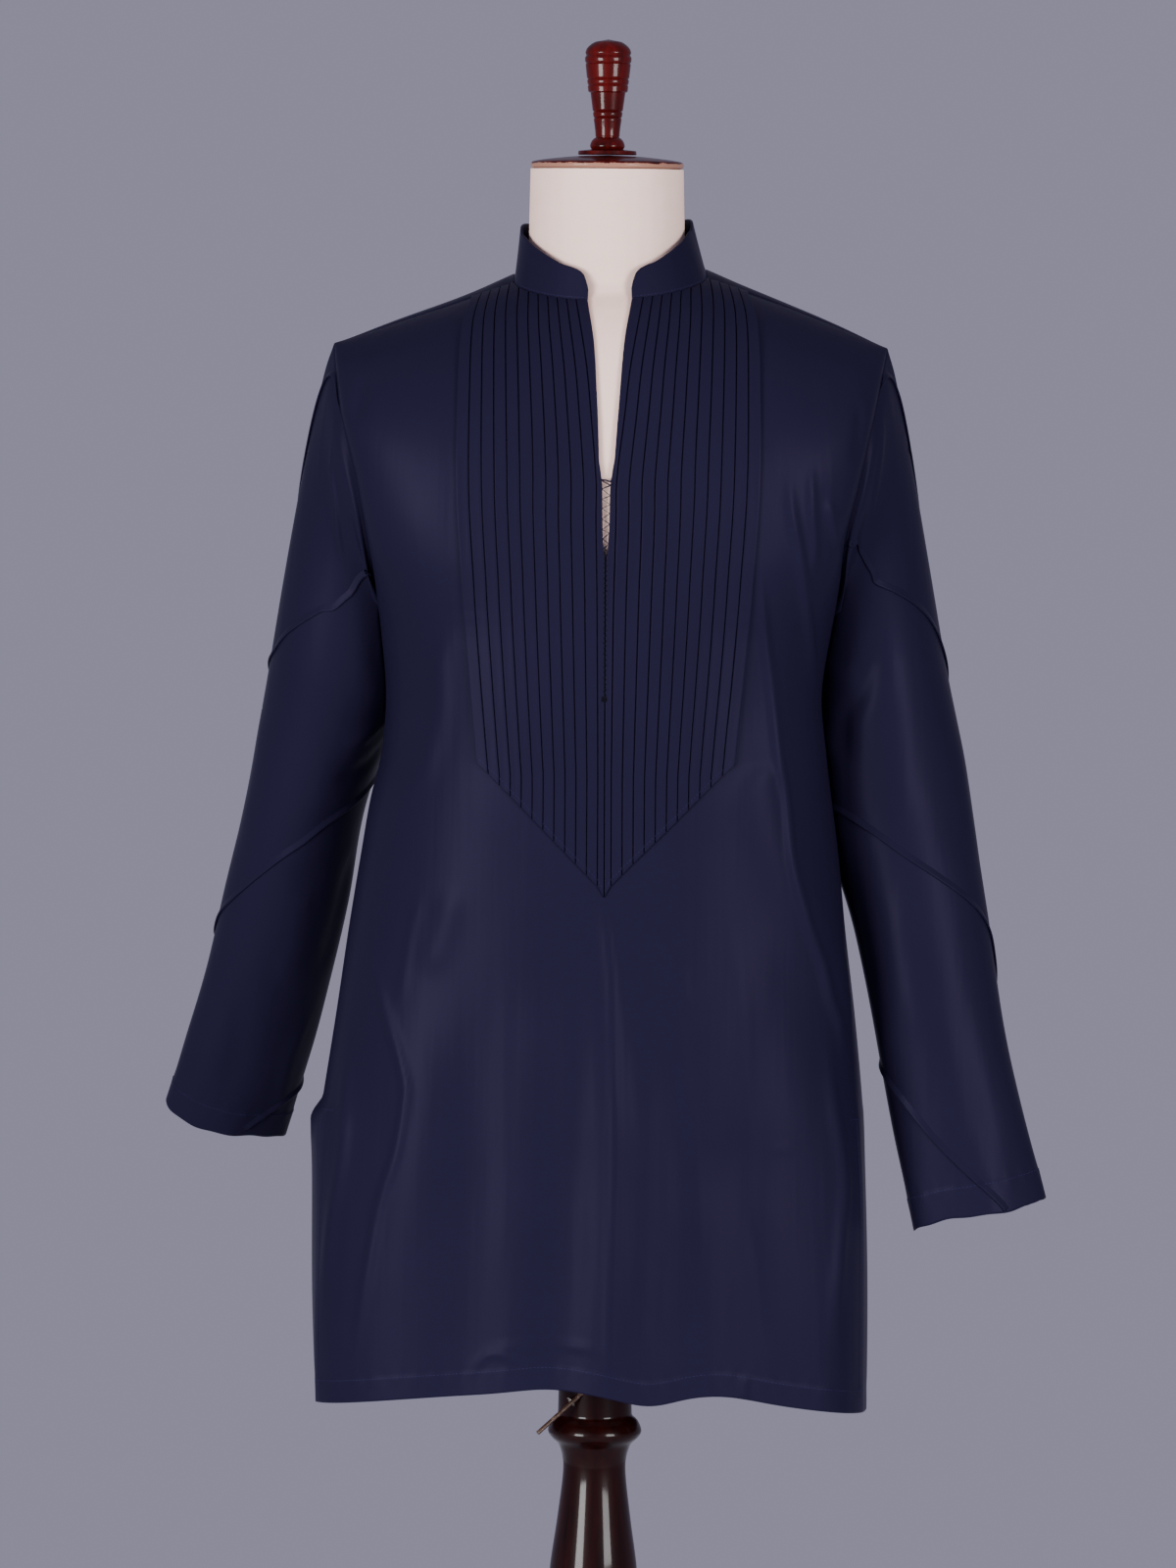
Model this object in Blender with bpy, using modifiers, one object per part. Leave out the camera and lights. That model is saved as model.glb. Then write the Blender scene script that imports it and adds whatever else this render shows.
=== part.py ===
"""Short kurta on a limbless dress form, in metres, with +Z up.

The front of the garment faces -Y, its left and right below are as seen from the front, and the
origin is on the floor under the column's axis.  The worn body is one smooth surface, body_point(),
which the front panel, the back panel, the collar, the bib halves and the form are all taken from,
so that their seams meet.  Each sleeve is a loft that starts at the armhole edge of that surface.
"""

import math
from typing import NamedTuple

import bmesh
import bpy
from mathutils import Vector

# ---------------------------------------------------------------- cloth
CLOTH = 0.0015                # thickness of the panels and sleeves
COLLAR_CLOTH = 0.0020         # the band is two layers and an interlining
SEAM_GAP = 0.0006             # between the edges of two panels
LAYER_GAP = 0.0004            # between a panel and what is sewn on it
BIB_GAP = 0.0014              # the bib spans the front panel's flat facets
BIB_TOP_GAP = 0.0013          # and a little more where the panel curls over the shoulder

# ---------------------------------------------------------------- body of the garment
CENTRE_X = 0.003              # the garment hangs a little off the column's axis
SIDE_Y = 0.005                # depth of the side seams
ARMPIT_Z = 1.195
SHOULDER_TIP_Z = 1.4025
SHOULDER_NECK_Z = 1.4527      # where the shoulder seam meets the collar
SHOULDER_TILT = 0.0027        # halfway out, the right shoulder is this much higher, the left lower
SEAM_Y = -0.012               # the shoulder seam lies a little in front of the ridge
SEAM_X = 0.218                # half the width across the shoulder tips
SLIT_TOP_Z = 0.795            # the side seams are open below this
SLIT_SPREAD = 0.010           # how far each slit edge swings away at the hem
FRONT_CURL = math.radians(80)     # the front panel ends this far round the shoulder
BACK_CURL = math.radians(102)     # and the back panel runs on over the ridge to meet it
EDGE_CURL = math.radians(90)      # beside the armholes both end at the ridge itself


class Outline(NamedTuple):
    """The garment's plan at one height below the armpits."""
    z: float
    left: float
    right: float
    front: float
    back: float


OUTLINE = (
    Outline(0.540, 0.2220, 0.2165, -0.134, 0.131),
    Outline(0.660, 0.2268, 0.2161, -0.131, 0.128),
    Outline(0.765, 0.2285, 0.2128, -0.127, 0.126),
    Outline(0.800, 0.2195, 0.2110, -0.126, 0.125),
    Outline(0.870, 0.2090, 0.2040, -0.123, 0.122),
    Outline(0.940, 0.1992, 0.1953, -0.121, 0.116),
    Outline(1.000, 0.1875, 0.1892, -0.121, 0.108),
    Outline(1.040, 0.1745, 0.1838, -0.122, 0.103),
    Outline(1.080, 0.1662, 0.1786, -0.124, 0.101),
    Outline(1.130, 0.1715, 0.1745, -0.127, 0.103),
    Outline(ARMPIT_Z, 0.1782, 0.1844, -0.129, 0.109),
)


class Armhole(NamedTuple):
    """The armhole seam at one height, with the Y of its front and its back run."""
    z: float
    left: float
    right: float
    front: float
    back: float


ARMHOLE = (
    Armhole(ARMPIT_Z, 0.1782, 0.1844, SIDE_Y, SIDE_Y),
    Armhole(1.212, 0.1785, 0.1860, -0.034, 0.044),
    Armhole(1.250, 0.1850, 0.1885, -0.058, 0.070),
    Armhole(1.300, 0.1945, 0.2000, -0.064, 0.080),
    Armhole(1.345, 0.2055, 0.2098, -0.056, 0.072),
    Armhole(1.382, 0.2112, 0.2175, -0.034, 0.042),
    Armhole(SHOULDER_TIP_Z, 0.2137, 0.2223, SEAM_Y, SEAM_Y),
)
SQUARENESS = 2.35             # exponent of the body's rounded plan

# ---------------------------------------------------------------- neckline
NECK_WIDTH = 0.345            # half neck width, as a share of the shoulder width
NECK_FRONT_Y = -0.073
NECK_BACK_Y = 0.075
SHOULDER_ROUND = 0.10         # rounding of the shoulder line where it would cross the neck
SHOULDER_FALL = 1.15          # above 1, the shoulder line falls fastest at the tip
CHEST_FULLNESS = 0.55         # below 1, the front stays full for longer before it curves back
BLADE_FULLNESS = 0.60
NAPE_RISE = 0.022             # the back rises towards the nape
NAPE_REACH = 0.7              # out to this share of the half width

# ---------------------------------------------------------------- hem


class HemWave(NamedTuple):
    """A gentle rise or fall of the front hem: where, how wide, how much."""
    x: float
    width: float
    rise: float


HEM_SIDE_Z = 0.560
HEM_TILT = 0.0025             # its left is a little higher than its right
HEM_FRONT_RISE = 0.023        # the front hem is lifted at its centre by the chest
HEM_BACK_RISE = 0.004
HEM_WAVES = (
    HemWave(-0.040, 0.040, 0.005),
    HemWave(0.040, 0.028, -0.006),
    HemWave(0.100, 0.035, 0.004),
)

# ---------------------------------------------------------------- largest folds


class Fold(NamedTuple):
    """A soft ridge or trough on the front or back, from its top end to its foot."""
    side: int                 # +1 on the front, -1 on the back
    x_top: float
    z_top: float
    x_mid: float
    z_mid: float
    x_foot: float
    z_foot: float
    width: float
    height: float


FOLD_FADE = 0.45              # a fold grows to its full height over this share of its length
SIDE_SEAM_FADE = 0.06         # and dies out over this share of the half width by the side seams
FOLDS = (
    Fold(1, -0.186, 0.950, -0.146, 0.810, -0.190, 0.560, 0.030, 0.0080),
    Fold(1, -0.200, 0.880, -0.200, 0.760, -0.215, 0.560, 0.020, 0.0040),
    Fold(1, -0.105, 0.985, -0.095, 0.790, -0.105, 0.560, 0.036, -0.0070),
    Fold(1, -0.006, 0.955, 0.012, 0.780, 0.008, 0.550, 0.026, 0.0080),
    Fold(1, -0.045, 0.880, -0.030, 0.740, -0.036, 0.550, 0.024, -0.0050),
    Fold(1, 0.062, 0.900, 0.066, 0.740, 0.070, 0.550, 0.024, -0.0040),
    Fold(1, 0.122, 0.900, 0.112, 0.740, 0.130, 0.550, 0.030, -0.0060),
    Fold(1, 0.119, 1.260, 0.134, 1.060, 0.196, 0.830, 0.022, 0.0060),
    Fold(1, 0.181, 0.870, 0.190, 0.740, 0.188, 0.550, 0.022, 0.0060),
    Fold(-1, -0.120, 1.240, -0.090, 0.900, -0.100, 0.560, 0.034, 0.0070),
    Fold(-1, -0.030, 1.120, -0.020, 0.860, -0.010, 0.560, 0.034, -0.0060),
    Fold(-1, 0.060, 1.080, 0.070, 0.840, 0.060, 0.560, 0.032, 0.0070),
    Fold(-1, 0.140, 1.220, 0.130, 0.900, 0.150, 0.560, 0.030, -0.0060),
)

# ---------------------------------------------------------------- neck slit and bib


class SlitRow(NamedTuple):
    """Half the opening of the neck slit at one height."""
    z: float
    half: float


SLIT = (
    SlitRow(1.215, 0.0000),
    SlitRow(1.254, 0.0019),
    SlitRow(1.300, 0.0044),
    SlitRow(1.330, 0.0073),
    SlitRow(1.368, 0.0092),
    SlitRow(1.406, 0.0120),
    SlitRow(1.440, 0.0176),
)


class BibRow(NamedTuple):
    """Half the bib's width at one height."""
    z: float
    half: float


BIB = (
    BibRow(1.070, 0.0995),
    BibRow(1.139, 0.1058),
    BibRow(1.216, 0.1128),
    BibRow(1.285, 0.1179),
    BibRow(1.350, 0.1177),
    BibRow(1.406, 0.1153),
    BibRow(1.440, 0.1075),
)
BIB_TIP_Z = 0.975
BIB_CORNER_Z = 1.078          # its lower corners, where the slanting foot begins
BIB_STIFFNESS = 0.035         # folds start within this distance beyond its edge
TUCKS = 12                    # tucks in each half
TUCK_RISE = 0.0012            # how far a tuck's folded edge stands up
TUCK_STEP = 0.0007            # width of the drop beside that edge
BIB_CLOTH = 0.0010            # least thickness between the tucks

# ---------------------------------------------------------------- collar
COLLAR_SIDE = 0.047           # height of the band at the sides
COLLAR_BACK = 0.040           # at the nape
COLLAR_FRONT = 0.030          # and at its rounded front ends
COLLAR_ROUND = 0.015          # radius of those ends
COLLAR_TOP_RADIUS = 0.0672    # the band closes in to this round top edge

# ---------------------------------------------------------------- sleeves


class Arm(NamedTuple):
    """A ring of a sleeve: centre of the ring and its two diameters."""
    x: float
    y: float
    z: float
    wide: float
    deep: float


LEFT_ARM = (
    Arm(-0.2190, 0.050, 1.145, 0.094, 0.130),
    Arm(-0.2285, 0.081, 1.050, 0.108, 0.116),
    Arm(-0.2520, 0.112, 0.955, 0.103, 0.098),
    Arm(-0.2768, 0.148, 0.860, 0.100, 0.082),
    Arm(-0.3065, 0.184, 0.764, 0.101, 0.068),
)
RIGHT_ARM = (
    Arm(0.2275, 0.048, 1.145, 0.096, 0.128),
    Arm(0.2385, 0.036, 1.045, 0.113, 0.112),
    Arm(0.2560, 0.022, 0.945, 0.108, 0.098),
    Arm(0.2770, 0.008, 0.830, 0.104, 0.082),
    Arm(0.3050, -0.006, 0.713, 0.107, 0.068),
)
SLEEVE_SIDES = 16
HEAD_PUFF = 0.13              # how far the sleeve head leaves the armhole sideways
CAP_ROWS = 5                  # rows of the sleeve head, from the armhole to the first ring
ARM_ROWS = 3                  # rows from each ring to the next
ARMHOLE_EASE = 0.0021         # the sleeve starts this far outside the armhole edge
BODY_EASE = 0.0042            # least distance from sleeve to the body's plan


class SleeveTuck(NamedTuple):
    """A raised diagonal tuck: where round and where down the sleeve it starts and ends."""
    turn_start: float
    along_start: float
    turn_end: float
    along_end: float


SLEEVE_TUCKS = (
    SleeveTuck(0.125, 0.15, -0.4375, 1.45),
    SleeveTuck(0.3750, 0.28, -0.4375, 2.40),
    SleeveTuck(0.5000, 1.95, -0.4375, 4.40),
    SleeveTuck(0.5000, 4.30, 0.1875, 4.90),
)
TUCK_WIDTH = 0.0040
TUCK_HEIGHT = 0.0014
TUCK_LIFT = 0.0006            # a tuck's strip clears the sleeve's flat facets by this much
HEAD_TUCK_LIFT = 0.0022       # and by this much more over the sleeve head

# ---------------------------------------------------------------- form and stand


class Torso(NamedTuple):
    """The form's plan at one height below the armpits."""
    z: float
    half: float
    front: float
    back: float


TORSO = (
    Torso(0.690, 0.150, -0.088, 0.092),
    Torso(0.705, 0.160, -0.096, 0.104),
    Torso(0.780, 0.170, -0.100, 0.110),
    Torso(0.860, 0.170, -0.100, 0.110),
    Torso(0.960, 0.160, -0.098, 0.098),
    Torso(1.060, 0.148, -0.100, 0.084),
    Torso(1.130, 0.155, -0.110, 0.088),
    Torso(ARMPIT_Z, 0.166, -0.118, 0.098),
)
FORM_EASE = 0.0130            # the cloth stands off the chest by this much
SHOULDER_EASE = 0.0015        # and rests on the shoulders
NECK_EASE = 0.0025            # more room beside the neck
FORM_CORE_Z = 1.31            # the form is eased in towards points at this height
FORM_TOP = 0.965              # where the form's shoulders are closed
FORM_SIDE = 0.985             # the form ends this share of the way to the armhole
NECK_TOP_Z = 1.5418
NECK_RADIUS = 0.0605
NECK_Y = 0.001


class Turning(NamedTuple):
    """A point of a turned profile."""
    radius: float
    z: float


CAP = (
    Turning(0.0000, 1.5528),
    Turning(0.0240, 1.5520),
    Turning(0.0480, 1.5496),
    Turning(0.0590, 1.5476),
    Turning(0.0606, 1.5455),
    Turning(0.0600, 1.5432),
    Turning(0.0575, 1.5421),
    Turning(0.0000, 1.5421),
)
FINIAL = (
    Turning(0.0000, 1.6440),
    Turning(0.0100, 1.6422),
    Turning(0.0168, 1.6370),
    Turning(0.0184, 1.6300),
    Turning(0.0177, 1.6225),
    Turning(0.0156, 1.6030),
    Turning(0.0138, 1.6020),
    Turning(0.0117, 1.5860),
    Turning(0.0096, 1.5680),
    Turning(0.0125, 1.5640),
    Turning(0.0138, 1.5600),
    Turning(0.0125, 1.5575),
    Turning(0.0228, 1.5562),
    Turning(0.0232, 1.5538),
    Turning(0.0225, 1.5531),
    Turning(0.0000, 1.5531),
)
COLUMN = (
    Turning(0.0000, 0.6895),
    Turning(0.0296, 0.6895),
    Turning(0.0296, 0.5485),
    Turning(0.0345, 0.5430),
    Turning(0.0375, 0.5350),
    Turning(0.0350, 0.5300),
    Turning(0.0290, 0.5240),
    Turning(0.0252, 0.5110),
    Turning(0.0256, 0.4950),
    Turning(0.0298, 0.4610),
    Turning(0.0350, 0.4230),
    Turning(0.0385, 0.3700),
    Turning(0.0380, 0.3200),
    Turning(0.0300, 0.2000),
    Turning(0.0240, 0.1200),
    Turning(0.0340, 0.1050),
    Turning(0.0360, 0.0950),
    Turning(0.0240, 0.0850),
    Turning(0.0330, 0.0450),
    Turning(0.0500, 0.0283),
    Turning(0.0000, 0.0283),
)
BASE = (
    Turning(0.0000, 0.0280),
    Turning(0.0900, 0.0280),
    Turning(0.1500, 0.0240),
    Turning(0.1760, 0.0180),
    Turning(0.1800, 0.0120),
    Turning(0.1800, 0.0030),
    Turning(0.1770, 0.0000),
    Turning(0.0000, 0.0000),
)
TURNED_STEPS = 24
PIN_RADIUS = 0.0020
PIN_AT = Vector((-0.0205, -0.0235, 0.5560))       # where the pin leaves the column
PIN_TO = Vector((-0.0450, -0.0420, 0.5300))
PIN_SEAT = 0.006              # depth of its hole
PIN_CLEARANCE = 0.0003


# ================================================================ helpers

def between(rows, column, z):
    """Read one column of a table at height z, on a smooth curve through its rows."""
    if z <= rows[0].z:
        return getattr(rows[0], column)
    if z >= rows[-1].z:
        return getattr(rows[-1], column)
    index = max(i for i in range(len(rows) - 1) if rows[i].z <= z)
    near = [rows[min(max(index + k, 0), len(rows) - 1)] for k in (-1, 0, 1, 2)]
    values = [getattr(row, column) for row in near]
    span = near[2].z - near[1].z
    slope_in = (values[2] - values[0]) / max(near[2].z - near[0].z, span)
    slope_out = (values[3] - values[1]) / max(near[3].z - near[1].z, span)
    t = (z - near[1].z) / span
    return ((2 * t ** 3 - 3 * t ** 2 + 1) * values[1] + (t ** 3 - 2 * t ** 2 + t) * span * slope_in
            + (3 * t ** 2 - 2 * t ** 3) * values[2] + (t ** 3 - t ** 2) * span * slope_out)


def smooth(t):
    """Ease from 0 to 1."""
    t = min(max(t, 0.0), 1.0)
    return t * t * (3 - 2 * t)


def mix(a, b, t):
    return a + (b - a) * t


def make_material(name, color, roughness, metallic=0.0):
    material = bpy.data.materials.new(name)
    material.use_nodes = True
    shader = material.node_tree.nodes["Principled BSDF"]
    shader.inputs["Base Color"].default_value = (*color, 1.0)
    shader.inputs["Roughness"].default_value = roughness
    shader.inputs["Metallic"].default_value = metallic
    return material


def add_object(name, mesh, material, collection):
    mesh.materials.append(material)
    obj = bpy.data.objects.new(name, mesh)
    collection.objects.link(obj)
    return obj


def finish_mesh(builder, name):
    """Weld the shared edges, turn the faces outward and shade softly."""
    bmesh.ops.remove_doubles(builder, verts=builder.verts, dist=0.00001)
    bmesh.ops.recalc_face_normals(builder, faces=builder.faces)
    mesh = bpy.data.meshes.new(name)
    builder.to_mesh(mesh)
    builder.free()
    mesh.shade_smooth()
    return mesh


def add_grid(builder, rows, closed=False):
    """Join rows of points into a sheet of quads, and return its vertices by row."""
    grid = [[builder.verts.new(point) for point in row] for row in rows]
    count = len(grid[0])
    for low, high in zip(grid, grid[1:]):
        for i in range(count if closed else count - 1):
            j = (i + 1) % count
            builder.faces.new((low[i], low[j], high[j], high[i]))
    return grid


def thicken(obj, thickness):
    """Give an open sheet its thickness, half to each side."""
    solidify = obj.modifiers.new("Cloth", "SOLIDIFY")
    solidify.thickness = thickness
    solidify.offset = 0.0
    solidify.use_even_offset = True


def solid_between(outer, inner):
    """Close two sheets of the same count of points into one solid."""
    builder = bmesh.new()
    top = add_grid(builder, outer)
    bottom = add_grid(builder, inner)

    def rim(grid):
        right = [row[-1] for row in grid[1:]]
        left = [row[0] for row in grid[-2:0:-1]]
        return grid[0] + right + grid[-1][-2::-1] + left

    upper, lower = rim(top), rim(bottom)
    for i in range(len(upper)):
        j = (i + 1) % len(upper)
        builder.faces.new((upper[i], upper[j], lower[j], lower[i]))
    return builder


# ================================================================ the worn body

def side_share(x_share):
    """How much of the depth is left at this share of the half width: 1 at the centre, 0 at a side."""
    return max(0.0, 1.0 - abs(x_share) ** SQUARENESS) ** (1.0 / SQUARENESS)


def hem_z(x_share, side):
    """Height of the hem."""
    rise = HEM_FRONT_RISE if side > 0 else HEM_BACK_RISE
    z = HEM_SIDE_Z - HEM_TILT * x_share + rise * (1.0 - abs(x_share) ** 2.5)
    if side > 0:
        for wave in HEM_WAVES:
            offset = (x_share * SEAM_X - wave.x) / wave.width
            z += wave.rise * math.exp(-offset * offset)
    return z


def curl_end(x_share, side):
    """How far round the shoulder a column of a panel reaches."""
    return mix(FRONT_CURL if side > 0 else BACK_CURL, EDGE_CURL, abs(x_share) ** 8)


def shoulder_z(x_share):
    """Height of the shoulder seam, on a line that would run on across the neck."""
    def fall(share):
        return (share * share + SHOULDER_ROUND ** 2) ** (SHOULDER_FALL / 2)

    drop = (fall(abs(x_share)) - fall(NECK_WIDTH)) / (fall(1.0) - fall(NECK_WIDTH))
    tilt = SHOULDER_TILT * 4 * x_share * (1.0 - abs(x_share))
    return mix(SHOULDER_NECK_Z, SHOULDER_TIP_Z, drop) + tilt


def panel_end(x_share, side):
    """Where a column of the panel stops: at the shoulder seam, or before it at the neckline."""
    share = abs(x_share) / NECK_WIDTH
    if share >= 1.0:
        return 1.0
    neck_y = NECK_FRONT_Y if side > 0 else NECK_BACK_Y
    y = SEAM_Y + (neck_y - SEAM_Y) * math.sqrt(1.0 - share * share)
    bottom = between(OUTLINE, "front" if side > 0 else "back", ARMPIT_Z)
    end = curl_end(x_share, side)
    turned = 1.0 - (y - bottom) / (SEAM_Y - bottom) * (1.0 - math.cos(end))
    return math.acos(turned) / end


def skirt_point(side, x_share, rise):
    """A point below the armpits: rise runs from 0 at the hem to 1 at the armpits."""
    low = hem_z(x_share, side)
    z = low + (ARMPIT_Z - low) * rise
    open_share = smooth((SLIT_TOP_Z - z) / (SLIT_TOP_Z - HEM_SIDE_Z))
    side_y = SIDE_Y - side * SLIT_SPREAD * open_share
    return place(side, x_share, z, between(OUTLINE, "left" if x_share < 0 else "right", z), side_y,
                 between(OUTLINE, "front" if side > 0 else "back", z))


def yoke_point(side, x_share, turned):
    """A point above the armpits: turned runs from 0 at the armpits to 1 at the shoulder seam."""
    run = "front" if side > 0 else "back"
    end = curl_end(x_share, side)
    fullness = CHEST_FULLNESS if side > 0 else BLADE_FULLNESS
    climb = (math.sin(end * turned) / math.sin(end)) ** fullness if turned > 0 else 0.0
    z = ARMPIT_Z + (shoulder_z(x_share) - ARMPIT_Z) * climb
    if side < 0:
        z += NAPE_RISE * smooth(1.0 - abs(x_share) / NAPE_REACH) * math.sin(math.pi * turned)
    edge_climb = math.sin(EDGE_CURL * turned) ** fullness if turned > 0 else 0.0
    edge_z = mix(ARMPIT_Z, SHOULDER_TIP_Z, edge_climb)
    bottom = between(OUTLINE, run, ARMPIT_Z)
    middle = mix(bottom, SEAM_Y, (1.0 - math.cos(end * turned)) / (1.0 - math.cos(end)))
    return place(side, x_share, z, between(ARMHOLE, "left" if x_share < 0 else "right", edge_z),
                 between(ARMHOLE, run, edge_z), middle)


def place(side, x_share, z, half, side_y, middle_y):
    """Put a point on the rounded plan with this half width, side and middle."""
    direction = -1.0 if x_share < 0 else 1.0
    x = CENTRE_X + abs(x_share) * (direction * half - CENTRE_X)
    return Vector((x, mix(side_y, middle_y, side_share(x_share)) - side * SEAM_GAP / 2, z))


def smooth_body_point(side, x_share, level):
    """A point of the body without folds.

    side is +1 on the front and -1 on the back, x_share runs from -1 to +1 across, and level runs
    from 0 at the hem through 1 at the armpits to 2 at the neckline and the shoulder seam.
    """
    if level <= 1.0:
        return skirt_point(side, x_share, level)
    return yoke_point(side, x_share, (level - 1.0) * panel_end(x_share, side))


def body_normal(side, x_share, level):
    """The outward direction of the body's surface."""
    step = 0.004
    left = max(x_share - step, -0.9995)
    right = min(x_share + step, 0.9995)
    if level <= 1.0:
        point, height = skirt_point, level
    else:
        point, height = yoke_point, (level - 1.0) * panel_end(x_share, side)
    down = max(height - step, 0.0)
    up = min(height + step, 1.0)
    across = point(side, right, height) - point(side, left, height)
    along = point(side, x_share, up) - point(side, x_share, down)
    return (across.cross(along) * side).normalized()


def beside_bib(x, z):
    """0 under the stiff bib, rising to 1 a few centimetres beyond its edge."""
    if z < BIB_TIP_Z:
        beyond = BIB_TIP_Z - z
    else:
        edge = between(BIB, "half", z) * min((z - BIB_TIP_Z) / (BIB_CORNER_Z - BIB_TIP_Z), 1.0)
        beyond = abs(x - CENTRE_X) - edge
    return smooth(beyond / BIB_STIFFNESS)


def fold_height(side, x, z):
    """Sum of the folds at a place: each is a soft bump across a path that bends once."""
    free = beside_bib(x, z) if side > 0 else 1.0
    if free == 0.0:
        return 0.0
    height = 0.0
    for fold in FOLDS:
        if fold.side != side or not fold.z_foot < z < fold.z_top:
            continue
        if z > fold.z_mid:
            centre = mix(fold.x_mid, fold.x_top, smooth((z - fold.z_mid) / (fold.z_top - fold.z_mid)))
        else:
            centre = mix(fold.x_foot, fold.x_mid, smooth((z - fold.z_foot) / (fold.z_mid - fold.z_foot)))
        share = (fold.z_top - z) / (fold.z_top - fold.z_foot)
        fade = smooth(share / FOLD_FADE)
        offset = (x - centre) / fold.width
        height += fold.height * fade * math.exp(-offset * offset)
    return height * free


def body_point(side, x_share, level, lift=0.0):
    """A point of the body with its folds, lifted off the surface by lift."""
    point = smooth_body_point(side, x_share, level)
    height = fold_height(side, point.x, point.z)
    if height == 0.0 and lift == 0.0:
        return point
    edge = smooth((1.0 - abs(x_share)) / SIDE_SEAM_FADE)
    return point + body_normal(side, x_share, level) * (height * edge + lift)


def slit_share(level):
    """Half the neck slit as a share of the body's half width at this level."""
    z = smooth_body_point(1, 0.0, level).z
    half = between(SLIT, "half", z)
    return half / SEAM_X


def across_shares():
    """Shares of the half width where the columns of a panel's half lie."""
    neck = [NECK_WIDTH * math.sin(math.radians(90) * k / 4) for k in range(5)]
    rest = [NECK_WIDTH + (1.0 - NECK_WIDTH) * math.sin(math.radians(90) * k / 7) for k in range(1, 8)]
    return neck + rest


def panel_levels():
    """Levels of a panel's rows: hem to slit top, slit top to armpits, armpits to shoulder."""
    slit_top = (SLIT_TOP_Z - HEM_SIDE_Z) / (ARMPIT_Z - HEM_SIDE_Z)
    below = [slit_top * k / 5 for k in range(5)]
    waist = [mix(slit_top, 1.0, k / 7) for k in range(7)]
    return below + waist + yoke_levels() + [2.0]


def yoke_levels():
    """Levels from the armpits up to just short of the shoulder seam."""
    return [1.0 + FORM_TOP * (k / 7) ** 1.5 for k in range(8)]


# ================================================================ garment pieces

def build_front(material, collection):
    """Two half sheets that share their middle edge below the slit."""
    builder = bmesh.new()
    for direction in (-1, 1):
        rows = []
        for level in panel_levels():
            shares = across_shares()
            shares[0] = slit_share(level)
            rows.append([body_point(1, direction * share, level) for share in shares])
        if direction < 0:
            rows = [row[::-1] for row in rows]
        add_grid(builder, rows)
    panel = add_object("front_panel", finish_mesh(builder, "front_panel"), material, collection)
    thicken(panel, CLOTH)


def build_back(material, collection):
    builder = bmesh.new()
    shares = across_shares()
    shares = [-share for share in shares[:0:-1]] + shares
    add_grid(builder, [[body_point(-1, share, level) for share in shares] for level in panel_levels()])
    panel = add_object("back_panel", finish_mesh(builder, "back_panel"), material, collection)
    thicken(panel, CLOTH)


def neckline(steps=28):
    """The neckline from the slit's left edge round the back to its right edge."""
    start = slit_share(2.0) / NECK_WIDTH
    points = []
    for k in range(steps + 1):
        share = k / steps - 0.08 * math.sin(math.tau * k / steps)     # closer at the front ends
        angle = mix(math.asin(start), math.radians(360) - math.asin(start), share)
        side = 1 if math.cos(angle) >= 0 else -1
        points.append(smooth_body_point(side, -NECK_WIDTH * math.sin(angle), 2.0))
    return points


def build_collar(material, collection):
    """A band round the neckline that leans to the neck and has rounded front ends."""
    base = neckline()
    runs = [0.0]
    for one, two in zip(base, base[1:]):
        runs.append(runs[-1] + (two - one).length)
    seat = CLOTH / 2 + LAYER_GAP * 2
    rows = []
    for share in (0.0, 0.34, 0.67, 1.0):
        row = []
        for point, run in zip(base, runs):
            end = min(run, runs[-1] - run)
            frontness = min(max(point.y / NECK_FRONT_Y, 0.0), 1.0)
            backness = min(max(point.y / NECK_BACK_Y, 0.0), 1.0)
            height = mix(mix(COLLAR_SIDE, COLLAR_FRONT, frontness), COLLAR_BACK, backness)
            if end < COLLAR_ROUND:
                drop = 1.0 - end / COLLAR_ROUND
                height -= COLLAR_ROUND * (1.0 - math.sqrt(max(0.0, 1.0 - drop * drop)))
            out = Vector((point.x, point.y - NECK_Y))
            radius = mix(out.length, COLLAR_TOP_RADIUS, share * height / COLLAR_SIDE)
            place_in_plan = out.normalized() * radius
            row.append((place_in_plan.x, NECK_Y + place_in_plan.y, point.z + seat + height * share))
        rows.append(row)
    builder = bmesh.new()
    add_grid(builder, rows)
    band = add_object("collar_band", finish_mesh(builder, "collar_band"), material, collection)
    thicken(band, COLLAR_CLOTH)


def bib_rows():
    """Rows of the bib: shares of the way up its pointed part, then the front panel's own levels."""
    corner = next(level for level in panel_levels() if smooth_body_point(1, 0.0, level).z > BIB_CORNER_Z)
    point = [(k / 3, corner) for k in range(3)]
    return point + [(1.0, level) for level in panel_levels() if corner <= level < 2.0]


def bib_point(direction, share, row, lift):
    """A point of a bib half: share across from the slit, on a row, lifted off the body."""
    rise, top = row

    def x_share_at(level):
        z = smooth_body_point(1, 0.0, level).z
        inner = max(between(SLIT, "half", z), 0.0003)
        half = abs(smooth_body_point(1, direction * 1.0, level).x - CENTRE_X)
        return mix(inner, between(BIB, "half", z), share) / half

    foot_z = mix(BIB_TIP_Z, BIB_CORNER_Z, share)
    hem = hem_z(x_share_at(1.0), 1)
    level = mix((foot_z - hem) / (ARMPIT_Z - hem), top, rise)
    lift += BIB_TOP_GAP * smooth((level - 1.6) / 0.3)
    return body_point(1, direction * x_share_at(level), level, lift)


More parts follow.
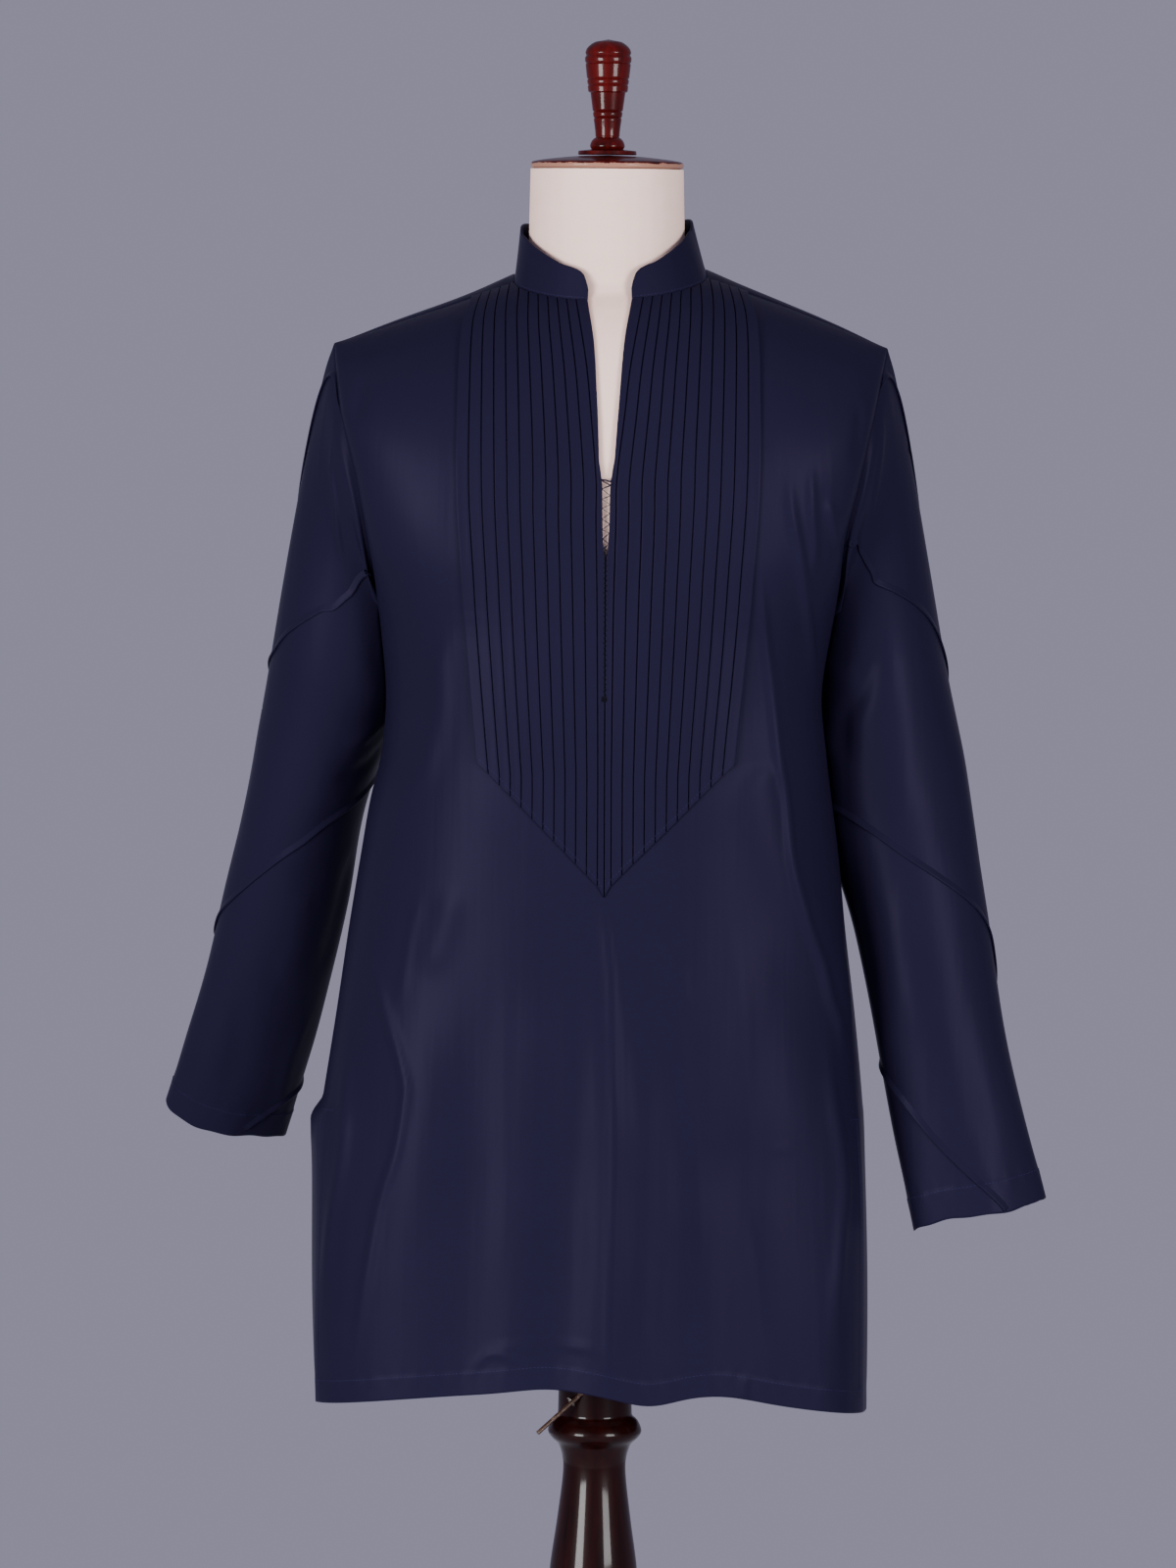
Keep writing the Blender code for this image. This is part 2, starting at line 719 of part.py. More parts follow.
def build_bib(name, direction, material, collection):
    """A half of the bib, with tucks whose folded edges stand up towards the outside."""
    base = CLOTH / 2 + BIB_GAP
    step = TUCK_STEP * TUCKS / BIB[3].half
    across = []
    for tuck in range(TUCKS):
        across.append((tuck / TUCKS, 0.0))
        across.append(((tuck + 1 - step) / TUCKS, TUCK_RISE))
    across.append((1.0, TUCK_RISE))
    rows = bib_rows()
    outer = [[bib_point(direction, share, row, base + BIB_CLOTH + height) for share, height in across]
             for row in rows]
    inner = [[bib_point(direction, share, row, base) for share, height in across] for row in rows]
    builder = solid_between(outer, inner)
    add_object(name, finish_mesh(builder, name), material, collection)


# ================================================================ sleeves

def armhole_point(direction, turn):
    """The sleeve's first ring: turn runs from the shoulder tip by the front to the armpit and back."""
    turn %= 1.0
    side = 1 if turn <= 0.5 else -1
    along = 1.0 - turn * 2 if side > 0 else turn * 2 - 1.0
    point = smooth_body_point(side, direction * 1.0, 1.0 + along)
    point.x += direction * ARMHOLE_EASE
    return point


def arm_ring(arms, index, turn):
    """A point of one ring of the arm, square to the arm's run."""
    arm = arms[index]
    before = arms[max(index - 1, 0)]
    after = arms[min(index + 1, len(arms) - 1)]
    run = Vector((after.x - before.x, after.y - before.y, after.z - before.z)).normalized()
    outward = Vector((1.0 if arm.x > 0 else -1.0, 0.0, 0.0))
    outward = (outward - run * outward.dot(run)).normalized()
    forward = Vector((0.0, -1.0, 0.0))
    forward = (forward - run * forward.dot(run)).normalized()
    angle = turn * math.tau
    return (Vector((arm.x, arm.y, arm.z)) + outward * (math.cos(angle) * arm.wide / 2)
            + forward * (math.sin(angle) * arm.deep / 2))


def clear_of_body(point, direction):
    """Push a point of the sleeve out to the body's plan plus a little ease."""
    if point.z > ARMPIT_Z - 0.004:
        return point
    side = "front" if point.y < SIDE_Y else "back"
    half = between(OUTLINE, "left" if direction < 0 else "right", point.z) + BODY_EASE
    depth = abs(between(OUTLINE, side, point.z) - SIDE_Y) + BODY_EASE
    share = min(abs(point.y - SIDE_Y) / depth, 1.0)
    least = half * (1.0 - share ** SQUARENESS) ** (1.0 / SQUARENESS)
    if abs(point.x) < least:
        return Vector((direction * least, point.y, point.z))
    return point


def sleeve_point(arms, direction, turn, along):
    """A point of the sleeve: along is 0 at the armhole, 1 at the first ring, then 1 for each ring."""
    stations = [armhole_point(direction, turn)] + [arm_ring(arms, i, turn) for i in range(len(arms))]
    index = min(int(along), len(stations) - 2)
    t = along - index
    start, end = stations[index], stations[index + 1]
    if index == 0:
        drop = start.z - end.z
        tangent_in = Vector((direction * (HEAD_PUFF * drop + 0.02), 0.0, -0.8 * drop))
    else:
        tangent_in = (stations[index + 1] - stations[index - 1]) / 2
        if index == 1:
            tangent_in = stations[2] - stations[1]
    last = index + 2 >= len(stations)
    tangent_out = end - start if last else (stations[index + 2] - end if index == 0
                                            else (stations[index + 2] - start) / 2)
    point = (start * (2 * t ** 3 - 3 * t ** 2 + 1) + tangent_in * (t ** 3 - 2 * t ** 2 + t)
             + end * (3 * t ** 2 - 2 * t ** 3) + tangent_out * (t ** 3 - t ** 2))
    return clear_of_body(point, direction)


def sleeve_rows(arms):
    """How far down the sleeve each row of its loft lies."""
    head = [k / CAP_ROWS for k in range(CAP_ROWS)]
    return head + [1.0 + k / ARM_ROWS for k in range(ARM_ROWS * (len(arms) - 1) + 1)]


def build_sleeve(name, arms, direction, material, collection):
    builder = bmesh.new()
    add_grid(builder, [[sleeve_point(arms, direction, k / SLEEVE_SIDES, along)
                        for k in range(SLEEVE_SIDES)] for along in sleeve_rows(arms)], closed=True)
    sleeve = add_object(name, finish_mesh(builder, name), material, collection)
    thicken(sleeve, CLOTH)


def facet_point(arms, direction, turn, along):
    """A point on the straight edge between two rows of the sleeve's loft."""
    rows = sleeve_rows(arms)
    index = max(i for i in range(len(rows) - 1) if rows[i] <= along)
    share = (along - rows[index]) / (rows[index + 1] - rows[index])
    low = sleeve_point(arms, direction, turn, rows[index])
    high = sleeve_point(arms, direction, turn, rows[index + 1])
    return low.lerp(high, share)


def build_sleeve_tucks(name, arms, direction, material, collection):
    """Raised strips on the sleeve, from the underarm by the front and the outside to the back."""
    for number, tuck in enumerate(SLEEVE_TUCKS, start=1):
        steps = round((tuck.turn_start - tuck.turn_end) * SLEEVE_SIDES)
        rows = []
        for k in range(steps + 1):
            turn = mix(tuck.turn_start, tuck.turn_end, k / steps)
            along = mix(tuck.along_start, tuck.along_end, k / steps)
            here = facet_point(arms, direction, turn, along)
            lower = facet_point(arms, direction, turn, along + 0.05)
            before = sleeve_point(arms, direction, turn - 1 / SLEEVE_SIDES, along)
            after = sleeve_point(arms, direction, turn + 1 / SLEEVE_SIDES, along)
            down = (lower - here).normalized()
            normal = down.cross(after - before).normalized() * direction
            lift = TUCK_LIFT + HEAD_TUCK_LIFT * smooth((1.4 - along) / 0.6)
            base = here + normal * (CLOTH / 2 + LAYER_GAP + lift)
            width = down * TUCK_WIDTH
            rise = normal * TUCK_HEIGHT
            rows.append([base, base + width, base + width + rise, base + rise * 0.6])
        builder = bmesh.new()
        grid = add_grid(builder, rows, closed=True)
        builder.faces.new(grid[0])
        builder.faces.new(grid[-1])
        strip = f"{name}_tuck_{number}"
        add_object(strip, finish_mesh(builder, strip), material, collection)


# ================================================================ form and stand

def form_point(side, x_share, level):
    """The form under the cloth: its own plan below the armpits, and eased in from the cloth above."""
    if level > 1.0:
        point = smooth_body_point(side, x_share, level)
        core = Vector((point.x * 0.8, 0.0, FORM_CORE_Z))
        beside_neck = smooth((NECK_WIDTH + 0.15 - abs(x_share)) / 0.15)
        ease = mix(FORM_EASE, SHOULDER_EASE + NECK_EASE * beside_neck, smooth((level - 1.0) / 0.8))
        return point + (core - point).normalized() * ease
    z = mix(TORSO[0].z, ARMPIT_Z, level)
    half = between(TORSO, "half", z)
    depth = between(TORSO, "front" if side > 0 else "back", z)
    direction = -1.0 if x_share < 0 else 1.0
    x = CENTRE_X * level + abs(x_share) * (direction * half - CENTRE_X * level)
    return Vector((x, mix(SIDE_Y, depth, side_share(x_share)), z))


def add_neck(builder, ring):
    """Carry a ring of the torso's vertices up to the round top of the neck, and close it there."""
    roots = [vertex.co.copy() for vertex in ring]
    for inward, rise in ((0.75, 0.10), (0.90, 0.35), (1.0, 1.0)):
        raised = []
        for root in roots:
            angle = math.atan2(root.y - NECK_Y, root.x)
            goal = Vector((NECK_RADIUS * math.cos(angle), NECK_Y + NECK_RADIUS * math.sin(angle), NECK_TOP_Z))
            raised.append(builder.verts.new((mix(root.x, goal.x, inward), mix(root.y, goal.y, inward),
                                             mix(root.z, goal.z, rise))))
        for i in range(len(ring)):
            j = (i + 1) % len(ring)
            builder.faces.new((ring[i], ring[j], raised[j], raised[i]))
        ring = raised
    builder.faces.new(ring)


def build_form(material, collection):
    """A closed torso and neck: front and back sheets, bridged at sides, base and shoulders."""
    shares = across_shares()
    shares[-1] = FORM_SIDE
    shares = [-share for share in shares[:0:-1]] + shares
    levels = [k / 9 for k in range(9)] + yoke_levels()
    builder = bmesh.new()
    front = add_grid(builder, [[form_point(1, share, level) for share in shares] for level in levels])
    back = add_grid(builder, [[form_point(-1, share, level) for share in shares] for level in levels])
    for edge in (0, -1):
        for low in range(len(levels) - 1):
            builder.faces.new((front[low][edge], front[low + 1][edge], back[low + 1][edge], back[low][edge]))
    neck = [k for k in range(len(shares)) if abs(shares[k]) <= NECK_WIDTH + 0.001]
    for k in range(len(shares) - 1):
        builder.faces.new((front[0][k], front[0][k + 1], back[0][k + 1], back[0][k]))
        if not (k in neck and k + 1 in neck):
            builder.faces.new((front[-1][k], front[-1][k + 1], back[-1][k + 1], back[-1][k]))
    add_neck(builder, [front[-1][k] for k in neck] + [back[-1][k] for k in reversed(neck)])
    add_object("form_torso", finish_mesh(builder, "form_torso"), material, collection)


def build_turned(name, profile, material, collection):
    """A lathe-turned piece: its profile runs down the outer side and is swept by a Screw."""
    mesh = bpy.data.meshes.new(name)
    points = [(row.radius, 0.0, row.z) for row in profile]
    mesh.from_pydata(points, [(i, i + 1) for i in range(len(points) - 1)], [])
    obj = add_object(name, mesh, material, collection)
    screw = obj.modifiers.new("Turning", "SCREW")
    screw.axis = "Z"
    screw.angle = math.tau
    screw.steps = TURNED_STEPS
    screw.render_steps = TURNED_STEPS
    screw.use_merge_vertices = True
    screw.merge_threshold = 0.00001
    screw.use_smooth_shade = True
    return obj


def add_rod(name, start, end, radius, material, collection):
    """A round rod from one point to another."""
    builder = bmesh.new()
    length = (end - start).length
    bmesh.ops.create_cone(builder, cap_ends=True, segments=12, radius1=radius, radius2=radius, depth=length)
    rod = add_object(name, finish_mesh(builder, name), material, collection)
    rod.location = (start + end) / 2
    rod.rotation_mode = "QUATERNION"
    rod.rotation_quaternion = (end - start).to_track_quat("Z", "Y")
    return rod


def build_stand(wood, pin_wood, collection, cutters):
    column = build_turned("stand_column", COLUMN, wood, collection)
    build_turned("stand_base", BASE, wood, collection)
    build_turned("neck_cap", CAP, wood, collection)
    build_turned("finial", FINIAL, wood, collection)
    direction = (PIN_TO - PIN_AT).normalized()
    seat = PIN_AT - direction * PIN_SEAT
    hole = add_rod("pin_hole", seat, PIN_TO, PIN_RADIUS + PIN_CLEARANCE, pin_wood, cutters)
    hole.hide_render = True
    hole.display_type = "WIRE"
    cut = column.modifiers.new("Pin hole", "BOOLEAN")
    cut.operation = "DIFFERENCE"
    cut.solver = "EXACT"
    cut.object = hole
    add_rod("clamp_pin", seat + direction * PIN_CLEARANCE, PIN_TO, PIN_RADIUS, pin_wood, collection)


def main():
    for obj in list(bpy.data.objects):
        bpy.data.objects.remove(obj, do_unlink=True)
    collection = bpy.data.collections.new("short_kurta_on_dress_form")
    cutters = bpy.data.collections.new("cutters")
    for group in (collection, cutters):
        bpy.context.scene.collection.children.link(group)

    cloth = make_material("navy_crepe", (0.016, 0.016, 0.045), 0.62)
    canvas = make_material("form_canvas", (0.80, 0.74, 0.66), 0.85)
    wood = make_material("lacquered_wood", (0.045, 0.008, 0.008), 0.18)
    pin_wood = make_material("brown_pin", (0.12, 0.06, 0.04), 0.5)

    build_front(cloth, collection)
    build_back(cloth, collection)
    build_sleeve("sleeve_left", LEFT_ARM, -1, cloth, collection)
    build_sleeve("sleeve_right", RIGHT_ARM, 1, cloth, collection)
    build_sleeve_tucks("sleeve_left", LEFT_ARM, -1, cloth, collection)
    build_sleeve_tucks("sleeve_right", RIGHT_ARM, 1, cloth, collection)
    build_collar(cloth, collection)
    build_bib("bib_left", -1, cloth, collection)
    build_bib("bib_right", 1, cloth, collection)
    build_form(canvas, collection)
    build_stand(wood, pin_wood, collection, cutters)


main()
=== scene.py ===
"""Short kurta on a limbless dress form: its cloth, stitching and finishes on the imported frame.

Metres, +Z up; the front of the garment faces -Y, its left and right are as seen from the front.
The worn body is one surface, WornBody, which the panels, the bib, the collar and the form are all
taken from; a sleeve is a loft that leaves the armhole edge of that surface.
"""

import logging
import math
from dataclasses import dataclass
from enum import Enum
from typing import Any, Iterable, Sequence

import bpy
import numpy as np
from mathutils import Matrix, Vector


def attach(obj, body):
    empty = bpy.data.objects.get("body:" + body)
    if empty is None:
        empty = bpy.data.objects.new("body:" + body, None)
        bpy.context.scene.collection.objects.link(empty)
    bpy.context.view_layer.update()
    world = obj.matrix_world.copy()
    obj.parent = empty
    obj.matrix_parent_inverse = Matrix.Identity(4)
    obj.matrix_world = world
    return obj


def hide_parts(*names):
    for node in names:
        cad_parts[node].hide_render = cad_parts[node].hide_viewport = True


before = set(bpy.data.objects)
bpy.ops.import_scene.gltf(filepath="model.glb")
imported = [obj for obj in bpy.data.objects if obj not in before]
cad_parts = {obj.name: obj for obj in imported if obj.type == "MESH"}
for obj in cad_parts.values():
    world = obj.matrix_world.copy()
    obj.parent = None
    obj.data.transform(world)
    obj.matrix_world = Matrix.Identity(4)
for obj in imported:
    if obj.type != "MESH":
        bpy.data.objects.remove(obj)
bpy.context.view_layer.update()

log = logging.getLogger("kurta")
Array = np.ndarray
Rows = tuple[tuple[float, ...], ...]
Socket = bpy.types.NodeSocket
SPACING = 1.8                     # power that draws rows together just above the armpits
CUFF = 5.0                        # along a sleeve: 0 at the armhole, 5 at the cuff's edge


# ================================================================ small helpers

def linear(code: str) -> tuple[float, float, float, float]:
    """Turn an sRGB hex colour into the linear colour that a shader reads.

    Args:
        code: The colour as "#RRGGBB".

    Returns:
        Red, green and blue in linear light, and an alpha of 1.
    """
    parts = [int(code[i:i + 2], 16) / 255 for i in (1, 3, 5)]
    red, green, blue = (p / 12.92 if p <= 0.04045 else ((p + 0.055) / 1.055) ** 2.4 for p in parts)
    return (red, green, blue, 1.0)


def smooth(t: Array | float) -> Array:
    """Ease from 0 to 1."""
    t = np.clip(t, 0.0, 1.0)
    return t * t * (3 - 2 * t)


def mix(a: Any, b: Any, t: Any) -> Any:
    """Go from a to b by the share t."""
    return a + (b - a) * t


def unit(vectors: Array) -> Array:
    """Scale each vector to length 1."""
    return vectors / np.maximum(np.linalg.norm(vectors, axis=-1, keepdims=True), 1e-12)


def hermite(t: Array, start: Array, end: Array, into: Array, out_of: Array) -> Array:
    """Points at the share t of a curve from start to end that leaves along into and arrives along out_of."""
    return ((2 * t ** 3 - 3 * t ** 2 + 1) * start + (t ** 3 - 2 * t ** 2 + t) * into
            + (3 * t ** 2 - 2 * t ** 3) * end + (t ** 3 - t ** 2) * out_of)


def connect(tree: bpy.types.NodeTree, node: bpy.types.Node, inputs: dict[Any, Any]) -> None:
    """Set a node's sockets.

    Args:
        tree: The node's tree.
        node: The node.
        inputs: Socket name or number, and either a value or the output socket to link from.
    """
    for key, value in inputs.items():
        if isinstance(value, Socket):
            tree.links.new(value, node.inputs[key])
        else:
            node.inputs[key].default_value = value


def add_node(tree: bpy.types.NodeTree, kind: str, inputs: dict[Any, Any] | None = None,
             **settings: Any) -> bpy.types.Node:
    """Add a node with its settings and links.

    Args:
        tree: The tree that the node joins.
        kind: The node's type.
        inputs: Sockets to set, as connect reads them.
        **settings: Properties of the node.

    Returns:
        The new node.
    """
    node = tree.nodes.new(kind)
    for name, value in settings.items():
        setattr(node, name, value)
    connect(tree, node, inputs or {})
    return node


def new_material(name: str) -> tuple[bpy.types.Material, bpy.types.NodeTree, bpy.types.Node, Socket]:
    """Start a material.

    Args:
        name: The finish's name.

    Returns:
        The material, its node tree, its Principled shader and the places on the object, for its patterns.
    """
    material = bpy.data.materials.new(name)
    material.use_nodes = True
    tree = material.node_tree
    return material, tree, tree.nodes["Principled BSDF"], add_node(tree, "ShaderNodeTexCoord").outputs["Object"]


def darker(code: str, share: float) -> tuple[float, ...]:
    """A hex colour with its light cut to this share."""
    return tuple(share * part for part in linear(code)[:3]) + (1.0,)


class Slot(Enum):
    """The record's material slots."""

    CLOTH = "navy_crepe"
    CANVAS = "form_canvas"
    WOOD = "lacquered_wood"
    PIN = "brown_pin"


class Side(Enum):
    """The front or the back of the garment, with the sign its surface has in Y."""

    FRONT = 1
    BACK = -1

    @property
    def column(self) -> str:
        """The column that it reads in a table."""
        return self.name.lower()


def declare(piece: bpy.types.Object, slot: Slot, *nodes: str) -> bpy.types.Object:
    """Fix a piece to the stand's body and hide the CAD nodes that it stands for.

    Args:
        piece: The finished object.
        slot: The record's slot for its finish; not used.
        *nodes: The CAD nodes that it replaces.

    Returns:
        The same object.
    """
    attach(piece, "root")
    if nodes:
        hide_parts(*nodes)
    log.info("%s: %d faces", piece.name, len(piece.data.polygons))
    return piece


def link(name: str, data: bpy.types.ID) -> bpy.types.Object:
    """Put an object with this data in the scene."""
    obj = bpy.data.objects.new(name, data)
    bpy.context.scene.collection.objects.link(obj)
    return obj


def add_mesh(name: str, points: Array, faces: Iterable[Sequence[int]],
             material: bpy.types.Material, crease_angle: float | None = None) -> bpy.types.Object:
    """Make an object from points and faces, without the points that no face uses.

    Args:
        name: Name of the object and its mesh.
        points: One row for each point.
        faces: Indices of each face's corners, counter-clockwise from outside.
        material: The finish.
        crease_angle: Edges sharper than this many degrees stay sharp; None keeps all soft.

    Returns:
        The object, linked to the scene.
    """
    faces = [tuple(int(i) for i in face) for face in faces]
    used = sorted({i for face in faces for i in face})
    place = {old: new for new, old in enumerate(used)}
    mesh = bpy.data.meshes.new(name)
    mesh.from_pydata([tuple(points[i]) for i in used], [], [[place[i] for i in f] for f in faces])
    mesh.validate()
    mesh.shade_smooth()
    if crease_angle is not None:
        mesh.set_sharp_from_angle(angle=math.radians(crease_angle))
    mesh.materials.append(material)
    return link(name, mesh)


def bake(obj: bpy.types.Object) -> bpy.types.Object:
    """Turn an object and its modifiers into one plain mesh.

    Args:
        obj: The object.

    Returns:
        The same object, without modifiers.
    """
    evaluated = obj.evaluated_get(bpy.context.evaluated_depsgraph_get())
    mesh = bpy.data.meshes.new_from_object(evaluated)
    mesh.name = obj.name
    obj.modifiers.clear()
    obj.data = mesh
    return obj


def thicken(obj: bpy.types.Object, thickness: float) -> bpy.types.Object:
    """Give an open sheet its thickness, half to each side, with closed edges."""
    wall = obj.modifiers.new("Cloth", "SOLIDIFY")
    wall.thickness = thickness
    wall.offset = 0.0
    return bake(obj)


def grid_faces(index: Array, closed: bool = False, flip: bool = False) -> list[tuple[int, ...]]:
    """List the quads of a grid.

    Args:
        index: Point numbers by row and column; a quad with a negative corner is left out.
        closed: Join the last column to the first.
        flip: Turn the faces over.

    Returns:
        The quads.
    """
    left = index if closed else index[:, :-1]
    right = np.roll(index, -1, axis=1) if closed else index[:, 1:]
    quads = np.stack([left[:-1], right[:-1], right[1:], left[1:]], axis=-1).reshape(-1, 4)
    if flip:
        quads = quads[:, ::-1]
    return [tuple(quad) for quad in quads[(quads >= 0).all(axis=1)]]


@dataclass(frozen=True)
class Table:
    """Rows that start with a height, read at any height on a smooth curve through them."""

    columns: tuple[str, ...]
    rows: Rows

    def read(self, column: str, height: Array) -> Array:
        """Read a column.

        Args:
            column: Its name.
            height: Heights; those beyond the table read its first or last row.

        Returns:
            The values at these heights.
        """
        data = np.array(self.rows)
        z, v = data[:, 0], data[:, self.columns.index(column) + 1]
        height = np.clip(height, z[0], z[-1])
        i = np.clip(np.searchsorted(z, height, side="right") - 1, 0, len(z) - 2)
        before, after = np.maximum(i - 1, 0), np.minimum(i + 2, len(z) - 1)
        span = z[i + 1] - z[i]
        slope_in = (v[i + 1] - v[before]) / np.maximum(z[i + 1] - z[before], span)
        slope_out = (v[after] - v[i]) / np.maximum(z[after] - z[i], span)
        return hermite((height - z[i]) / span, v[i], v[i + 1], span * slope_in, span * slope_out)

    def half(self, share: Array, height: Array) -> Array:
        """Read the left column where the share is below 0, and the right one elsewhere."""
        return np.where(share < 0, self.read("left", height), self.read("right", height))


@dataclass(frozen=True)
class Crease:
    """A soft ridge or trough along a curved path on the cloth."""

    path: Rows                    # places on the cloth, in metres
    width: float                  # how far it reaches to each side
    height: float                 # above 0 a ridge, below 0 a trough
    lean: float = 0.0             # above 0 steeper on the right of its path, below 0 on the left
    fade: float = 0.3             # share of its length over which each end dies out

    def curve(self, steps: int = 5) -> Array:
        """Run a smooth curve through the path's points."""
        p = np.array(self.path, float)
        p = np.vstack([2 * p[0] - p[1], p, 2 * p[-1] - p[-2]])
        t = (np.arange(steps) / steps)[:, None]
        spans = [0.5 * (2 * b + (c - a) * t + (2 * a - 5 * b + 4 * c - d) * t ** 2
                        + (3 * b - a - 3 * c + d) * t ** 3)
                 for a, b, c, d in zip(p, p[1:], p[2:], p[3:])]
        return np.vstack(spans + [p[-2][None]])

    def rise(self, x: Array, y: Array) -> Array:
        """Give the crease's height at places on the cloth.

        Args:
            x: First coordinate of each place.
            y: Second coordinate.

        Returns:
            How far each place stands up.
        """
        curve = self.curve()
        reach = self.width * 3.2 * (1 + abs(self.lean))
        low, high = curve.min(axis=0) - reach, curve.max(axis=0) + reach
        near = (x > low[0]) & (x < high[0]) & (y > low[1]) & (y < high[1])
        out = np.zeros(x.shape)
        if not near.any():
            return out
        px, py = x[near], y[near]
        steps = np.hypot(*np.diff(curve, axis=0).T)
        total = steps.sum()
        best, side, passed = np.full(px.shape, np.inf), np.zeros(px.shape), np.zeros(px.shape)
        done = 0.0
        for start, end, step in zip(curve, curve[1:], steps):
            way = (end - start) / step
            ex, ey = px - start[0], py - start[1]
            t = np.clip(ex * way[0] + ey * way[1], 0, step)
            gap = np.hypot(ex - way[0] * t, ey - way[1] * t)
            closer = gap < best
            best = np.where(closer, gap, best)
            side = np.where(closer, np.sign(way[0] * ey - way[1] * ex), side)
            passed = np.where(closer, done + t, passed)
            done += step
        ends = smooth(passed / (self.fade * total)) * smooth((total - passed) / (self.fade * total))
        width = self.width * (1 + self.lean * np.tanh(side * best / self.width))
        out[near] = self.height * ends * np.exp(-(best / width) ** 2)
        return out


# ================================================================ finishes

@dataclass(frozen=True)
class NavyCrepe:
    """Cotton-blend crepe: hard-twisted yarn gives a fine pebbled face and a soft, broad lustre."""

    face: str = "#1B182C"
    shade: str = "#181528"
    lustre: str = "#5A69B8"
    gleam: str = "#CFC0EE"
    pull_mm: float = 14.0         # faint upright streaks where the cloth hangs taut
    pebble_mm: float = 1.1        # the real grain is near 0.4 mm, drawn coarser so that it shows
    roughness: float = 0.35

    def build(self) -> bpy.types.Material:
        """Make the material."""
        material, tree, shader, place = new_material("navy_cotton_blend_crepe")
        hang = add_node(tree, "ShaderNodeMapping", {"Vector": place, "Scale": (1.0, 1.0, 0.05)})
        cloud, pull, grain = (add_node(tree, "ShaderNodeTexNoise", inputs).outputs["Fac"] for inputs in (
            {"Vector": place, "Scale": 9.0, "Detail": 3.0},
            {"Vector": hang.outputs["Vector"], "Scale": 1000 / self.pull_mm, "Detail": 2.0},
            {"Vector": place, "Scale": 1000 / self.pebble_mm, "Detail": 1.5, "Roughness": 0.6}))
        tone = add_node(tree, "ShaderNodeMix", {
            0: cloud, 6: linear(self.shade), 7: linear(self.face)}, data_type="RGBA")
        wear = add_node(tree, "ShaderNodeMapRange", {
            "Value": cloud, "To Min": self.roughness - 0.03, "To Max": self.roughness + 0.05})
        drawn = add_node(tree, "ShaderNodeBump", {"Height": pull, "Strength": 0.30, "Distance": 0.0016})
        pebble = add_node(tree, "ShaderNodeBump", {
            "Height": grain, "Strength": 0.16, "Distance": 0.0003, "Normal": drawn.outputs["Normal"]})
        connect(tree, shader, {
            "Base Color": tone.outputs[2], "Roughness": wear.outputs["Result"], "Normal": pebble.outputs["Normal"],
            "Specular IOR Level": 0.028, "Specular Tint": linear(self.gleam),
            "Sheen Weight": 0.006, "Sheen Roughness": 0.45, "Sheen Tint": linear(self.lustre)})
        return material


@dataclass(frozen=True)
class SewingThread:
    """Spun polyester thread: matt, and a little lighter than the crepe, so stitches just show."""

    name: str = "navy_spun_thread"
    body: str = "#302D54"
    roughness: float = 0.62
    ply_mm: float = 0.45

    def build(self) -> bpy.types.Material:
        """Make the material."""
        material, tree, shader, place = new_material(self.name)
        ply = add_node(tree, "ShaderNodeTexNoise", {"Vector": place, "Scale": 1000 / self.ply_mm})
        tone = add_node(tree, "ShaderNodeMix", {
            0: ply.outputs["Fac"], 6: darker(self.body, 0.6), 7: linear(self.body)}, data_type="RGBA")
        connect(tree, shader, {
            "Base Color": tone.outputs[2], "Roughness": self.roughness, "Specular IOR Level": 0.08})
        return material


@dataclass(frozen=True)
class FormCanvas:
    """Bleached cotton canvas, plain woven and stretched tight: chalky, with a faint thread grid."""

    warp: str = "#FFDDCE"
    weft: str = "#F8D1C2"
    band_mm: float = 1.6 * math.tau   # threads are near 0.7 mm apart, drawn as bands so that they show
    roughness: float = 0.88

    def build(self) -> bpy.types.Material:
        """Make the material."""
        material, tree, shader, place = new_material("bleached_cotton_canvas")
        scale = math.tau / 20 * 1000 / self.band_mm     # bands repeat 20 times in a run of 2 pi
        upright, level = (add_node(tree, "ShaderNodeTexWave", {
            "Vector": place, "Scale": scale, "Distortion": 1.2, "Detail": 1.0, "Detail Scale": 2.0},
            bands_direction=way).outputs["Fac"] for way in ("X", "Z"))
        weave = add_node(tree, "ShaderNodeMath", {0: upright, 1: level}, operation="ADD")
        bump = add_node(tree, "ShaderNodeBump", {
            "Height": weave.outputs["Value"], "Strength": 0.25, "Distance": 0.0003})
        slub = add_node(tree, "ShaderNodeTexNoise", {"Vector": place, "Scale": 60.0, "Detail": 4.0})
        tone = add_node(tree, "ShaderNodeMix", {
            0: slub.outputs["Fac"], 6: linear(self.weft), 7: linear(self.warp)}, data_type="RGBA")
        connect(tree, shader, {
            "Base Color": tone.outputs[2], "Normal": bump.outputs["Normal"], "Roughness": self.roughness})
        return material


